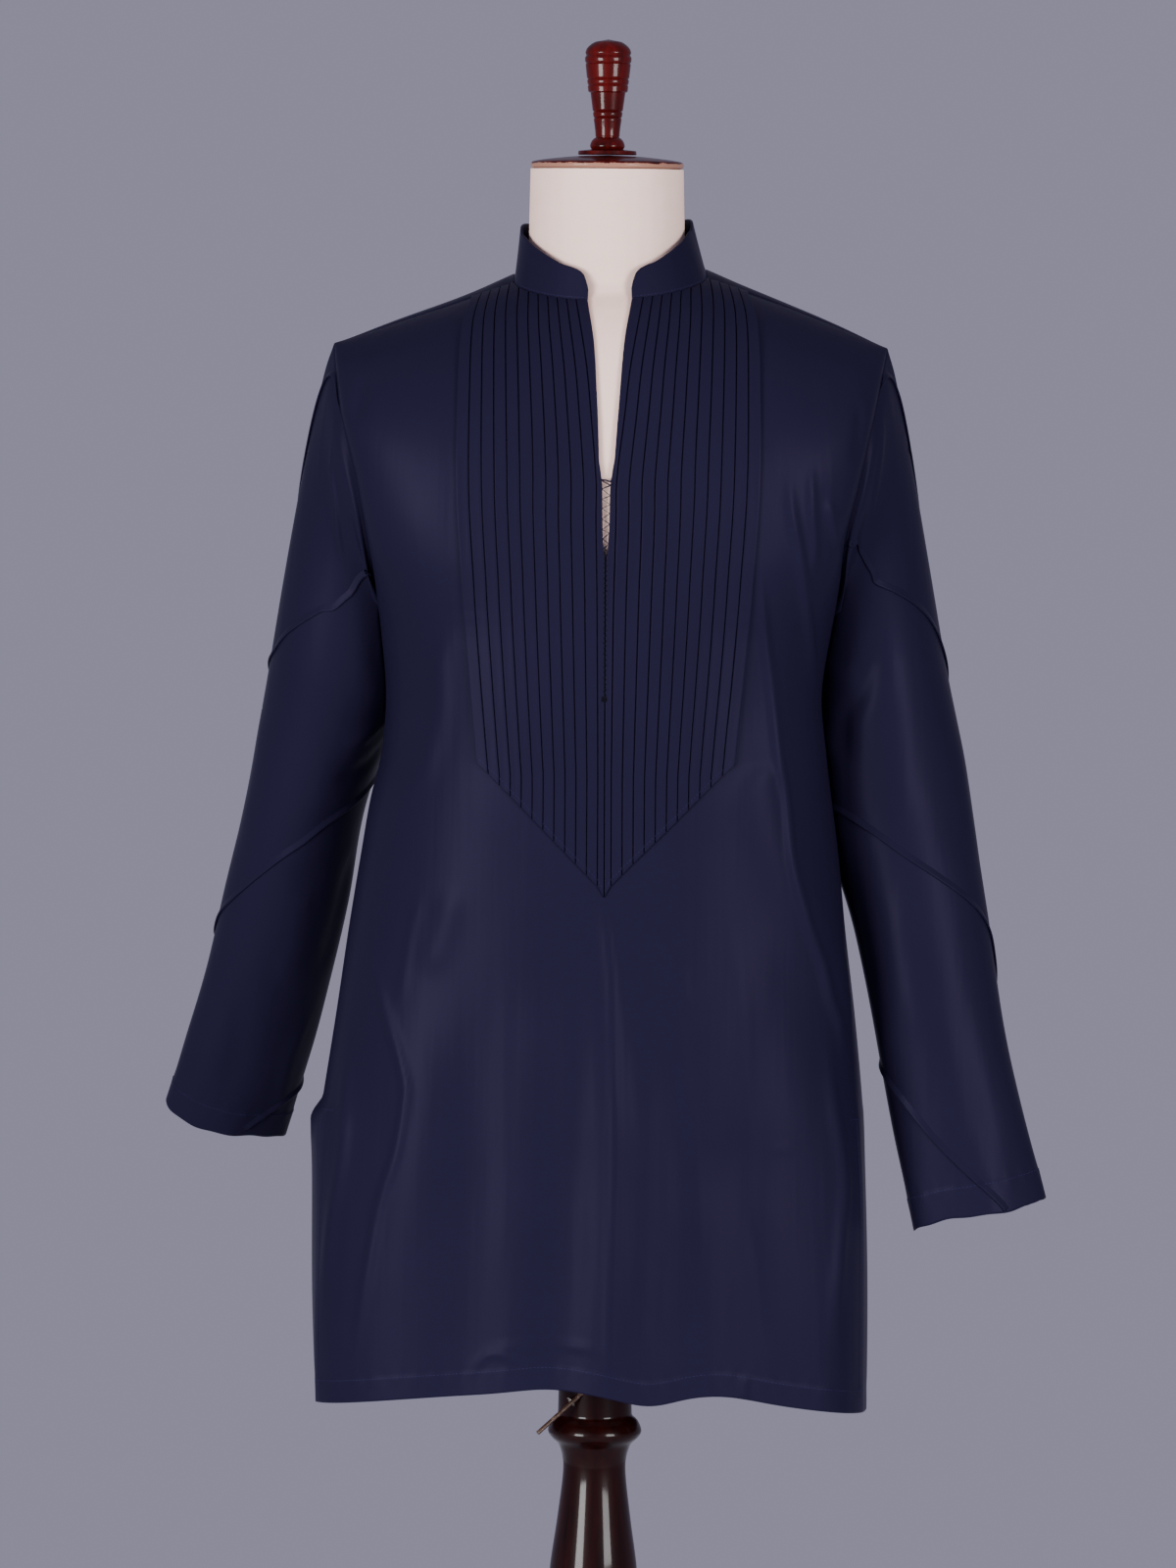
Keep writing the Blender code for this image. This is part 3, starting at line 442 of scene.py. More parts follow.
@dataclass(frozen=True)
class LacqueredBeech:
    """Beech stained oxblood and lacquered: a nearly black red-brown under a mirror-like coat."""

    name: str = "oxblood_lacquered_beech"
    pale: str = "#560A08"
    dark: str = "#1E0302"
    band_colour: str = "#9C705E"
    band_top_z: float = 0.0       # height under which the stain gives way to a pale tan band
    grain_mm: float = 9.0
    roughness: float = 0.35

    def build(self) -> bpy.types.Material:
        """Make the material."""
        material, tree, shader, place = new_material(self.name)
        along = add_node(tree, "ShaderNodeMapping", {"Vector": place, "Scale": (1.0, 1.0, 0.12)})
        grain = add_node(tree, "ShaderNodeTexNoise", {
            "Vector": along.outputs["Vector"], "Scale": 1000 / self.grain_mm, "Detail": 5.0,
            "Roughness": 0.65, "Distortion": 0.4}).outputs["Fac"]
        ramp = add_node(tree, "ShaderNodeValToRGB", {"Fac": grain})
        for stop, at, code in zip(ramp.color_ramp.elements, (0.30, 0.75), (self.dark, self.pale)):
            stop.position, stop.color = at, linear(code)
        # Below the set height the colour turns to a pale tan band, with an edge made ragged by the grain.
        height = add_node(tree, "ShaderNodeSeparateXYZ", {"Vector": place})
        fleck = add_node(tree, "ShaderNodeMath", {
            0: grain, 1: 0.004, 2: self.band_top_z - 0.002}, operation="MULTIPLY_ADD")
        rubbed = add_node(tree, "ShaderNodeMath", {
            0: height.outputs["Z"], 1: fleck.outputs["Value"]}, operation="LESS_THAN")
        tone = add_node(tree, "ShaderNodeMix", {
            0: rubbed.outputs["Value"], 6: ramp.outputs["Color"], 7: linear(self.band_colour)}, data_type="RGBA")
        connect(tree, shader, {
            "Base Color": tone.outputs[2], "Roughness": self.roughness, "Specular IOR Level": 0.06,
            "Coat Weight": 0.30, "Coat Roughness": 0.09})
        return material


@dataclass(frozen=True)
class RodEnamel:
    """Thin brown enamel on steel rod: a dull satin brown with small bare rubs."""

    body: str = "#3C271E"
    rubbed: str = "#6A5344"
    rub_mm: float = 3.0

    def build(self) -> bpy.types.Material:
        """Make the material."""
        material, tree, shader, place = new_material("brown_enamelled_steel")
        rub = add_node(tree, "ShaderNodeTexNoise", {"Vector": place, "Scale": 1000 / self.rub_mm, "Detail": 3.0})
        where = add_node(tree, "ShaderNodeMapRange", {
            "Value": rub.outputs["Fac"], "From Min": 0.52, "From Max": 0.68})
        tone = add_node(tree, "ShaderNodeMix", {
            0: where.outputs["Result"], 6: linear(self.body), 7: linear(self.rubbed)}, data_type="RGBA")
        connect(tree, shader, {"Base Color": tone.outputs[2], "Roughness": 0.42})
        return material


@dataclass(frozen=True)
class NickelPlate:
    """Nickel plate, tumbled: a pale soft-edged gleam with fine handling marks."""

    body: str = "#B9B2A6"
    mark_mm: float = 0.8

    def build(self) -> bpy.types.Material:
        """Make the material."""
        material, tree, shader, place = new_material("tumbled_nickel_plate")
        mark = add_node(tree, "ShaderNodeTexNoise", {"Vector": place, "Scale": 1000 / self.mark_mm, "Detail": 3.0})
        rough = add_node(tree, "ShaderNodeMapRange", {"Value": mark.outputs["Fac"], "To Min": 0.22, "To Max": 0.42})
        connect(tree, shader, {
            "Base Color": linear(self.body), "Metallic": 1.0, "Roughness": rough.outputs["Result"]})
        return material


@dataclass(frozen=True)
class StudioPaper:
    """Matt studio paper on the floor: even and shadowless, with the faintest fibre."""

    body: str = "#A9A9B4"
    fibre_mm: float = 25.0

    def build(self) -> bpy.types.Material:
        """Make the material."""
        material, tree, shader, place = new_material("matt_studio_paper")
        fibre = add_node(tree, "ShaderNodeTexNoise", {"Vector": place, "Scale": 1000 / self.fibre_mm, "Detail": 4.0})
        tone = add_node(tree, "ShaderNodeMix", {
            0: fibre.outputs["Fac"], 6: darker(self.body, 0.97), 7: linear(self.body)}, data_type="RGBA")
        connect(tree, shader, {"Base Color": tone.outputs[2], "Roughness": 0.9})
        return material


# ================================================================ the worn body

FRONT_CREASES = tuple(Crease(*row) for row in (
    (((-.185, .942), (-.170, .889), (-.152, .832), (-.151, .807), (-.157, .769), (-.169, .728),
            (-.181, .652), (-.189, .592)), .0034, .0023, .2, .25),
    (((-.197, .879), (-.198, .810), (-.199, .763), (-.207, .705), (-.214, .620)), .0050, .0022),
    (((-.109, 1.186), (-.125, 1.164), (-.126, 1.119), (-.132, 1.087), (-.140, 1.064),
            (-.156, 1.047)), .0080, .0022),
    (((-.117, .985), (-.121, .952), (-.136, .905)), .0100, .0014),
    (((.000, .986), (.003, .962), (.008, .926), (.011, .880), (.013, .818), (.014, .757), (.012, .680),
            (.010, .604), (.010, .580)), .0032, .0020, -.2, .12),
    (((-.016, .940), (-.013, .860), (-.014, .760), (-.017, .650), (-.020, .580)), .0100, -.0012),
    (((.022, .930), (.028, .850), (.029, .760), (.026, .660), (.020, .590)), .0090, -.0012),
    (((-.072, .930), (-.076, .840), (-.074, .740), (-.080, .640)), .0060, .0006),
    (((.060, .930), (.064, .850), (.078, .760), (.082, .660)), .0050, .0006),
    (((.100, .985), (.112, .900), (.120, .800), (.122, .700)), .0060, .0006),
    (((-.140, .980), (-.150, .930), (-.156, .880)), .0040, .0008),
    (((-.096, .617), (-.078, .620), (-.040, .625), (-.005, .622), (.014, .617)), .0040, .0010, -.3),
    (((-.097, .592), (-.093, .606), (-.084, .614), (-.068, .613), (-.046, .603)), .0034, .0010),
    (((.119, 1.241), (.123, 1.199), (.129, 1.144), (.134, 1.089), (.141, 1.050), (.146, 1.002),
            (.157, .958), (.164, .937), (.172, .915), (.179, .890), (.187, .871), (.196, .838)),
           .0034, .0030, .2, .12),
    (((.179, .873), (.183, .814), (.190, .750), (.188, .703), (.185, .639), (.189, .601)),
           .0048, .0026),
    (((.143, 1.315), (.146, 1.276), (.153, 1.241), (.158, 1.209), (.163, 1.170), (.169, 1.128)),
           .0036, .0028),
    (((.160, 1.315), (.162, 1.276), (.164, 1.250), (.163, 1.218)), .0034, .0022),
    (((.173, 1.289), (.180, 1.263), (.185, 1.241)), .0034, .0022),
    (((.197, 1.366), (.199, 1.347), (.196, 1.308)), .0050, -.0014),
    (((.063, .925), (.066, .905), (.070, .885)), .0030, .0004),
    (((.052, .797), (.055, .750), (.056, .702)), .0035, .0004),
    (((.049, .708), (.046, .665), (.042, .623)), .0026, -.0005, .3),
    (((.118, .735), (.126, .690), (.131, .650), (.134, .610)), .0030, -.0006, .3),
    (((-.188, 1.382), (-.197, 1.337)), .0060, -.0014),
    (((.118, .600), (.118, .577)), .0030, .0008),
    (((.133, .775), (.144, .776), (.156, .775)), .0030, .0003),
))

BACK_CREASES = tuple(Crease(*row) for row in (
    (((-.150, 1.330), (-.120, 1.290), (-.070, 1.268), (-.020, 1.262)), .0090, .0016),
    (((.160, 1.340), (.130, 1.296), (.085, 1.276), (.030, 1.270)), .0085, .0018, .2),
    (((-.170, 1.240), (-.140, 1.190), (-.120, 1.120), (-.118, 1.040)), .0070, .0022),
    (((.174, 1.225), (.150, 1.160), (.132, 1.090), (.136, 1.000), (.150, .900)), .0075, .0024, -.2),
    (((-.060, 1.090), (-.020, 1.076), (.030, 1.080), (.070, 1.094)), .0065, .0015),
    (((-.090, 1.050), (-.040, 1.036), (.010, 1.034), (.050, 1.044)), .0060, .0014, .3),
    (((-.095, .960), (-.088, .860), (-.094, .760), (-.104, .640)), .0090, .0022),
    (((-.165, .930), (-.150, .850), (-.160, .740), (-.180, .620)), .0080, .0024, .2),
    (((.060, .980), (.074, .880), (.070, .760), (.060, .640)), .0095, .0022, -.2),
    (((.176, .860), (.172, .780), (.180, .700), (.186, .610)), .0075, .0020),
    (((-.020, .860), (-.014, .760), (-.006, .640)), .0120, -.0018),
    (((.010, .606), (.050, .614), (.090, .608)), .0045, .0010),
    (((.120, .720), (.126, .640), (.124, .590)), .0100, -.0014),
))


@dataclass(frozen=True)
class WornBody:
    """The garment's body as it hangs: share runs -1 to 1 across, level 0 hem, 1 armpits, 2 shoulder."""

    centre_x: float = 0.003
    side_y: float = 0.005
    armpit_z: float = 1.195
    tip_z: float = 1.4025
    neck_z: float = 1.4527
    shoulder_tilt: float = 0.0027
    seam_y: float = -0.012
    slit_top_z: float = 0.795
    slit_spread: float = 0.010
    slit_kick: float = 0.0066     # how far the left slit's top corner stands out
    kick_above: float = 0.0086    # how far above the slit that starts
    kick_rise: float = 0.018      # over how much height it comes on
    kick_z: float = 0.7855        # height from which it dies out again
    kick_fade: float = 0.030      # and how fast
    kick_reach: float = 0.16      # share of the half width that it takes in
    seam_gap: float = -0.0004
    joint_ease: float = 0.035     # how far up and down the skirt's join to the yoke is eased
    front_curl: float = math.radians(80)
    back_curl: float = math.radians(102)
    edge_curl: float = math.radians(90)
    curl_blend: float = 8.0       # how close to the edge that takes over
    squareness: float = 2.35
    neck_width: float = 0.345
    neck_front_y: float = -0.073
    neck_back_y: float = 0.075
    shoulder_round: float = 0.10
    shoulder_fall: float = 1.15
    chest_fullness: float = 0.55
    blade_fullness: float = 0.60
    nape_rise: float = 0.022
    nape_reach: float = 0.7
    hem_side_z: float = 0.560
    hem_tilt: float = 0.0025
    hem_front_rise: float = 0.023
    hem_back_rise: float = 0.004
    hem_curve: float = 2.5        # how square the hem's rise is
    seam_x: float = 0.218
    hem_waves: Rows = ((-0.040, 0.040, 0.005), (0.040, 0.028, -0.006), (0.100, 0.035, 0.004))
    bib_tip_z: float = 0.975
    bib_corner_z: float = 1.078
    bib_stiffness: float = 0.035  # how far beyond the bib the large folds are still held flat
    bib_crease: float = 0.010     # and the fine creases
    tucks: int = 12
    fold_fade: float = 0.45
    unevenness: float = 0.0003
    side_seam_fade: float = 0.035
    outline: Table = Table(("left", "right", "front", "back"), (
        (.540, .2220, .2165, -.134, .131),
        (.660, .2264, .2161, -.131, .128),
        (.765, .2248, .2128, -.127, .126),
        (.800, .2196, .2110, -.126, .125),
        (.870, .2090, .2040, -.123, .122),
        (.940, .1992, .1953, -.121, .116),
        (1.000, .1898, .1892, -.121, .108),
        (1.040, .1832, .1838, -.122, .103),
        (1.080, .1742, .1786, -.124, .101),
        (1.130, .1715, .1745, -.127, .103),
        (1.195, .1782, .1844, -.129, .109),
    ))
    armhole: Table = Table(("left", "right", "front", "back"), (
        (1.195, .1782, .1844, .005, .005),
        (1.212, .1785, .1860, -.034, .044),
        (1.250, .1850, .1885, -.058, .070),
        (1.300, .1945, .2000, -.064, .080),
        (1.345, .2055, .2098, -.056, .072),
        (1.382, .2112, .2175, -.034, .042),
        (1.4025, .2137, .2223, -.012, -.012),
    ))
    slit: Table = Table(("half",), (
        (1.236, 0.0), (1.2422, .0007), (1.2468, .0016), (1.2544, .0022), (1.262, .0026),
        (1.277, .0029), (1.2924, .0031), (1.300, .0036), (1.304, .0043), (1.308, .0048),
        (1.3155, .0061), (1.330, .0069), (1.349, .0080), (1.368, .0092), (1.406, .0120),
        (1.440, .0176),
    ))
    slit_lean: Table = Table(("x",), (
        (.975, 0.0), (1.100, -.0008), (1.200, -.0014), (1.300, -.0015), (1.350, -.0008),
        (1.400, -.0003), (1.440, 0.0),
    ))
    bib: Table = Table(("half",), (
        (1.070, .0995), (1.139, .1058), (1.216, .1128), (1.285, .1179), (1.350, .1177),
        (1.406, .1153), (1.440, .1075),
    ))
    first_tuck: Table = Table(("half",), (
        (.975, -.0030), (1.200, -.0030), (1.270, -.0018), (1.300, -.0016), (1.349, .0040),
        (1.390, .0090), (1.440, .0192),
    ))
    folds: tuple[tuple[Side, tuple[float, ...]], ...] = (
        (Side.FRONT, (-.186, .950, -.146, .810, -.190, .560, .030, .0040)),
        (Side.FRONT, (-.200, .880, -.200, .760, -.215, .560, .020, .0040)),
        (Side.FRONT, (-.105, .985, -.095, .790, -.105, .560, .036, -.0070)),
        (Side.FRONT, (-.006, .955, .012, .780, .008, .550, .026, .0050)),
        (Side.FRONT, (-.045, .880, -.030, .740, -.036, .550, .024, -.0050)),
        (Side.FRONT, (.062, .900, .066, .740, .070, .550, .024, -.0040)),
        (Side.FRONT, (.122, .900, .112, .740, .130, .550, .030, -.0060)),
        (Side.FRONT, (.119, 1.260, .134, 1.060, .196, .830, .022, .0060)),
        (Side.FRONT, (.181, .870, .190, .740, .188, .550, .022, .0060)),
        (Side.BACK, (-.120, 1.240, -.090, .900, -.100, .560, .034, .0070)),
        (Side.BACK, (-.030, 1.120, -.020, .860, -.010, .560, .034, -.0060)),
        (Side.BACK, (.060, 1.080, .070, .840, .060, .560, .032, .0070)),
        (Side.BACK, (.140, 1.220, .130, .900, .150, .560, .030, -.0060)),
    )

    def depth_share(self, share: Array) -> Array:
        """How much of the depth is left at this share of the half width."""
        return np.maximum(0.0, 1.0 - np.abs(share) ** self.squareness) ** (1.0 / self.squareness)

    def hem_z(self, share: Array, side: Side) -> Array:
        """Height of the hem."""
        rise = self.hem_front_rise if side is Side.FRONT else self.hem_back_rise
        z = self.hem_side_z - self.hem_tilt * share + rise * (1.0 - np.abs(share) ** self.hem_curve)
        if side is Side.FRONT:
            for at, width, lift in self.hem_waves:
                z = z + lift * np.exp(-((share * self.seam_x - at) / width) ** 2)
        return z

    def curl_end(self, share: Array, side: Side) -> Array:
        """How far round the shoulder a column of a panel reaches."""
        middle = self.front_curl if side is Side.FRONT else self.back_curl
        return mix(middle, self.edge_curl, np.abs(share) ** self.curl_blend)

    def shoulder_z(self, share: Array) -> Array:
        """Height of the shoulder seam, on a line that would run on across the neck."""
        def fall(at: Array | float) -> Array:
            """Distance fallen, with a rounded start."""
            return (at * at + self.shoulder_round ** 2) ** (self.shoulder_fall / 2)

        drop = (fall(np.abs(share)) - fall(self.neck_width)) / (fall(1.0) - fall(self.neck_width))
        tilt = self.shoulder_tilt * 4 * share * (1.0 - np.abs(share))
        return mix(self.neck_z, self.tip_z, drop) + tilt

    def panel_end(self, share: Array, side: Side) -> Array:
        """Where a column stops: at the shoulder seam, or before it at the neckline."""
        inner = np.minimum(np.abs(share) / self.neck_width, 1.0)
        neck_y = self.neck_front_y if side is Side.FRONT else self.neck_back_y
        y = self.seam_y + (neck_y - self.seam_y) * np.sqrt(1.0 - inner * inner)
        bottom = self.outline.read(side.column, np.array(self.armpit_z))
        end = self.curl_end(share, side)
        turned = 1.0 - (y - bottom) / (self.seam_y - bottom) * (1.0 - np.cos(end))
        return np.where(inner >= 1.0, 1.0, np.arccos(np.clip(turned, -1, 1)) / end)

    def place(self, side: Side, share: Array, z: Array, half: Array, side_y: Array,
              middle_y: Array) -> Array:
        """Put points on the rounded plan with this half width, side and middle."""
        direction = np.where(share < 0, -1.0, 1.0)
        x = self.centre_x + np.abs(share) * (direction * half - self.centre_x)
        y = mix(side_y, middle_y, self.depth_share(share)) - side.value * self.seam_gap / 2
        return np.stack([x, y, z], axis=-1)

    def skirt(self, side: Side, share: Array, rise: Array) -> Array:
        """Points below the armpits: rise runs from 0 at the hem to 1 at the armpits."""
        low = self.hem_z(share, side)
        z = low + (self.armpit_z - low) * rise
        opened = smooth((self.slit_top_z - z) / (self.slit_top_z - self.hem_side_z))
        kick = (smooth((self.slit_top_z + self.kick_above - z) / self.kick_rise)
                * np.exp(-np.maximum(self.kick_z - z, 0.0) / self.kick_fade))
        beside = smooth((-share - 1.0 + self.kick_reach) / self.kick_reach)
        half = self.outline.half(share, z) + self.slit_kick * kick * beside
        middle = self.outline.read(side.column, z)
        return self.place(side, share, z, half, self.side_y - side.value * self.slit_spread * opened, middle)

    def yoke(self, side: Side, share: Array, turned: Array) -> Array:
        """Points above the armpits: turned runs from 0 at the armpits to 1 at the shoulder seam."""
        end = self.curl_end(share, side)
        fullness = self.chest_fullness if side is Side.FRONT else self.blade_fullness
        turned = np.maximum(turned, 0.0)
        climb = (np.sin(end * turned) / np.sin(end)) ** fullness
        z = self.armpit_z + (self.shoulder_z(share) - self.armpit_z) * climb
        if side is Side.BACK:
            z = z + self.nape_rise * smooth(1.0 - np.abs(share) / self.nape_reach) * np.sin(np.pi * turned)
        edge_z = mix(self.armpit_z, self.tip_z, np.sin(self.edge_curl * turned) ** fullness)
        bottom = self.outline.read(side.column, np.array(self.armpit_z))
        middle = mix(bottom, self.seam_y, (1.0 - np.cos(end * turned)) / (1.0 - np.cos(end)))
        half = self.armhole.half(share, edge_z)
        return self.place(side, share, z, half, self.armhole.read(side.column, edge_z), middle)

    def plain_point(self, side: Side, share: Array, level: Array) -> Array:
        """Points of the body without folds, with the skirt and the yoke simply joined."""
        below = self.skirt(side, share, np.minimum(level, 1.0))
        above = self.yoke(side, share, (level - 1.0) * self.panel_end(share, side))
        return np.where((level <= 1.0)[..., None], below, above)

    def smooth_point(self, side: Side, share: Array, level: Array) -> Array:
        """Points of the body without folds, eased over where the skirt meets the yoke."""
        share, level = np.broadcast_arrays(np.asarray(share, float), np.asarray(level, float))
        skirt, yoke = self.armpit_z - self.hem_side_z, self.tip_z - self.armpit_z
        above = yoke * np.maximum(level - 1.0, 0.0) ** (1 / SPACING)
        height = np.where(level <= 1.0, (level - 1.0) * skirt, above)
        reach = self.joint_ease * np.exp(-(height / (1.2 * self.joint_ease)) ** 2)
        total = np.zeros((*level.shape, 3))
        for step, weight in zip((-1.0, -0.67, -0.33, 0.0, 0.33, 0.67, 1.0), (1, 6, 15, 20, 15, 6, 1)):
            at = height + step * reach
            near = np.where(at <= 0, 1.0 + at / skirt, 1.0 + (np.maximum(at, 0.0) / yoke) ** SPACING)
            total += weight / 64 * self.plain_point(side, share, np.clip(near, 0.0, 2.0))
        return total

    def either_point(self, front: Array, share: Array, level: Array) -> Array:
        """Points without folds, on the front where front is true and on the back elsewhere."""
        return np.where(front[..., None], self.smooth_point(Side.FRONT, share, level),
                        self.smooth_point(Side.BACK, share, level))

    def normal(self, side: Side, share: Array, level: Array) -> Array:
        """The outward direction of the body's surface."""
        share, level = np.broadcast_arrays(np.asarray(share, float), np.asarray(level, float))
        step = 0.004
        left, right = np.maximum(share - step, -0.9995), np.minimum(share + step, 0.9995)

        def outward(point: Any, height: Array) -> Array:
            """Cross the two runs of the surface."""
            down, up = np.clip(height - step, 0, 1), np.clip(height + step, 0, 1)
            across = point(side, right, height) - point(side, left, height)
            along = point(side, share, up) - point(side, share, down)
            return unit(np.cross(across, along) * side.value)

        below = outward(self.skirt, np.minimum(level, 1.0))
        above = outward(self.yoke, np.maximum(level - 1.0, 0.0) * self.panel_end(share, side))
        weight = smooth((level - 0.985) / 0.03)[..., None]
        return unit(mix(below, above, weight))

    def beside_bib(self, x: Array, z: Array, reach: float) -> Array:
        """0 under the stiff bib, rising to 1 at this reach beyond its edge."""
        edge = self.bib.read("half", z) * np.minimum(
            (z - self.bib_tip_z) / (self.bib_corner_z - self.bib_tip_z), 1.0)
        beyond = np.where(z < self.bib_tip_z, np.hypot(self.bib_tip_z - z, x - self.centre_x),
                          np.abs(x - self.centre_x) - edge)
        return smooth(beyond / reach)

    def fold_height(self, side: Side, x: Array, z: Array) -> Array:
        """Sum of the large folds, the creases and a faint unevenness at places seen from the front."""
        height = np.zeros(x.shape)
        for on, (x_top, z_top, x_mid, z_mid, x_foot, z_foot, width, rise) in self.folds:
            if on is not side:
                continue
            upper = mix(x_mid, x_top, smooth((z - z_mid) / (z_top - z_mid)))
            lower = mix(x_foot, x_mid, smooth((z - z_foot) / (z_mid - z_foot)))
            centre = np.where(z > z_mid, upper, lower)
            fade = smooth((z_top - z) / (z_top - z_foot) / self.fold_fade)
            inside = (z > z_foot) & (z < z_top)
            if z_foot > self.hem_side_z + 0.02:
                fade = fade * smooth((z - z_foot) / 0.10)
            height += np.where(inside, rise * fade * np.exp(-((x - centre) / width) ** 2), 0.0)
        height += self.unevenness * np.sin(x * 61 + 2.1 * np.sin(z * 17)) * np.sin(z * 23 + 1.3 * np.sin(x * 29))
        if side is Side.BACK:
            return height + sum(crease.rise(x, z) for crease in BACK_CREASES)
        fine = sum(crease.rise(x, z) for crease in FRONT_CREASES)
        return height * self.beside_bib(x, z, self.bib_stiffness) + fine * self.beside_bib(x, z, self.bib_crease)

    def point(self, side: Side, share: Array, level: Array, lift: Array | float = 0.0) -> Array:
        """Points of the body with its folds, lifted off the surface by lift."""
        points = self.smooth_point(side, share, level)
        edge = smooth((1.0 - np.abs(share)) / self.side_seam_fade)
        height = self.fold_height(side, points[..., 0], points[..., 2]) * edge + lift
        return points + self.normal(side, share, level) * height[..., None]

    def skirt_level(self, share: Array, z: Array) -> Array:
        """Level of a height below the armpits, on the front."""
        hem = self.hem_z(share, Side.FRONT)
        return (z - hem) / (self.armpit_z - hem)

    def bib_share(self, direction: int, across: Array, level: Array) -> Array:
        """Share of the body's half width at a share across a bib half."""
        z = self.smooth_point(Side.FRONT, np.zeros_like(level), level)[..., 2]
        inner = np.maximum(self.slit.read("half", z), 0.0003)
        even = self.first_tuck.read("half", z)
        placket = (inner - even) * np.clip(1.0 - across * self.tucks / 0.9, 0.0, 1.0)
        edge = self.smooth_point(Side.FRONT, np.full_like(level, float(direction)), level)[..., 0]
        run = mix(even, self.bib.read("half", z), across) + placket
        lean = self.slit_lean.read("x", z) * (1.0 - across)
        return (direction * run + lean) / np.abs(edge - self.centre_x)


# ================================================================ panels

@dataclass
class Panel:
    """The front or the back of the kurta, with its folded hem and slit edges."""

    body: WornBody
    side: Side
    name: str
    node: str
    columns: int                  # in each half
    rows: tuple[int, int, int]    # in the hem, the skirt and the yoke
    cloth: float = 0.0010
    hem_depth: float = 0.017
    slit_depth: float = 0.010
    turned_up: float = 0.0003     # how far the doubled edges stand up
    slit_fold_z: float = 0.80     # how high the slit's doubled edges run
    pucker: float = 0.00022       # ripple along the hem's stitches
    hem_level: float = 0.055      # up to here the rows lie closer, for the hem
    bib_overlap: float = 0.003    # share by which the front's own slit is wider than the bib's

    def levels(self) -> Array:
        """Levels of the rows, closest at the hem and where the chest starts to curve back."""
        hem, skirt, yoke = self.rows
        return np.concatenate([np.linspace(0, self.hem_level, hem, endpoint=False),
                               np.linspace(self.hem_level, 1.0, skirt, endpoint=False),
                               1.0 + np.linspace(0, 1, yoke) ** SPACING])

    def doubled(self, points: Array, share: Array) -> Array:
        """How far the turned-up hem and the slit edges raise the cloth."""
        hem = points[..., 2] - self.body.hem_z(share, self.side)
        up = 1.0 - smooth((hem - self.hem_depth) / 0.0030)
        run = self.body.outline.half(share, points[..., 2]) - np.abs(points[..., 0])
        below = smooth((self.slit_fold_z - points[..., 2]) / 0.004)
        beside = (1.0 - smooth((run - self.slit_depth) / 0.001)) * below
        pucker = self.pucker * np.sin(points[..., 0] * 430) * np.exp(-((hem - self.hem_depth) / 0.006) ** 2)
        return self.turned_up * np.maximum(up, beside) + pucker

    def build(self, crepe: bpy.types.Material) -> bpy.types.Object:
        """Make the panel.

        Args:
            crepe: The cloth's finish.

        Returns:
            The finished piece.
        """
        body, levels = self.body, self.levels()
        ease = np.sin(np.linspace(0, math.pi / 2, self.columns))
        level = np.repeat(levels[:, None], self.columns, axis=1)
        z = body.smooth_point(Side.FRONT, np.zeros_like(levels), levels)[:, 2]
        open_half = body.slit.read("half", z) * (z > body.slit.rows[0][0])
        halves, indices = [], []
        for direction in (-1, 1):
            inner = np.zeros_like(levels)
            if self.side is Side.FRONT:
                edge = np.abs(body.bib_share(direction, np.zeros_like(levels), levels))
                inner = np.where(open_half > 0, edge + self.bib_overlap, 0.0)
            share = direction * mix(inner[:, None], 1.0, ease[None])
            points = body.smooth_point(self.side, share, level)
            points = body.point(self.side, share, level, self.doubled(points, share))
            halves.append(points)
            indices.append(np.arange(level.size).reshape(level.shape) + len(indices) * level.size)
        left, right = indices
        closed = (open_half <= 0) if self.side is Side.FRONT else np.full(len(levels), True)
        right[closed, 0] = left[closed, 0]
        flip = self.side is Side.BACK
        faces = grid_faces(left[:, ::-1], flip=flip) + grid_faces(right, flip=flip)
        points = np.concatenate([half.reshape(-1, 3) for half in halves])
        panel = thicken(add_mesh(self.name, points, faces, crepe), self.cloth)
        return declare(panel, Slot.CLOTH, self.node)


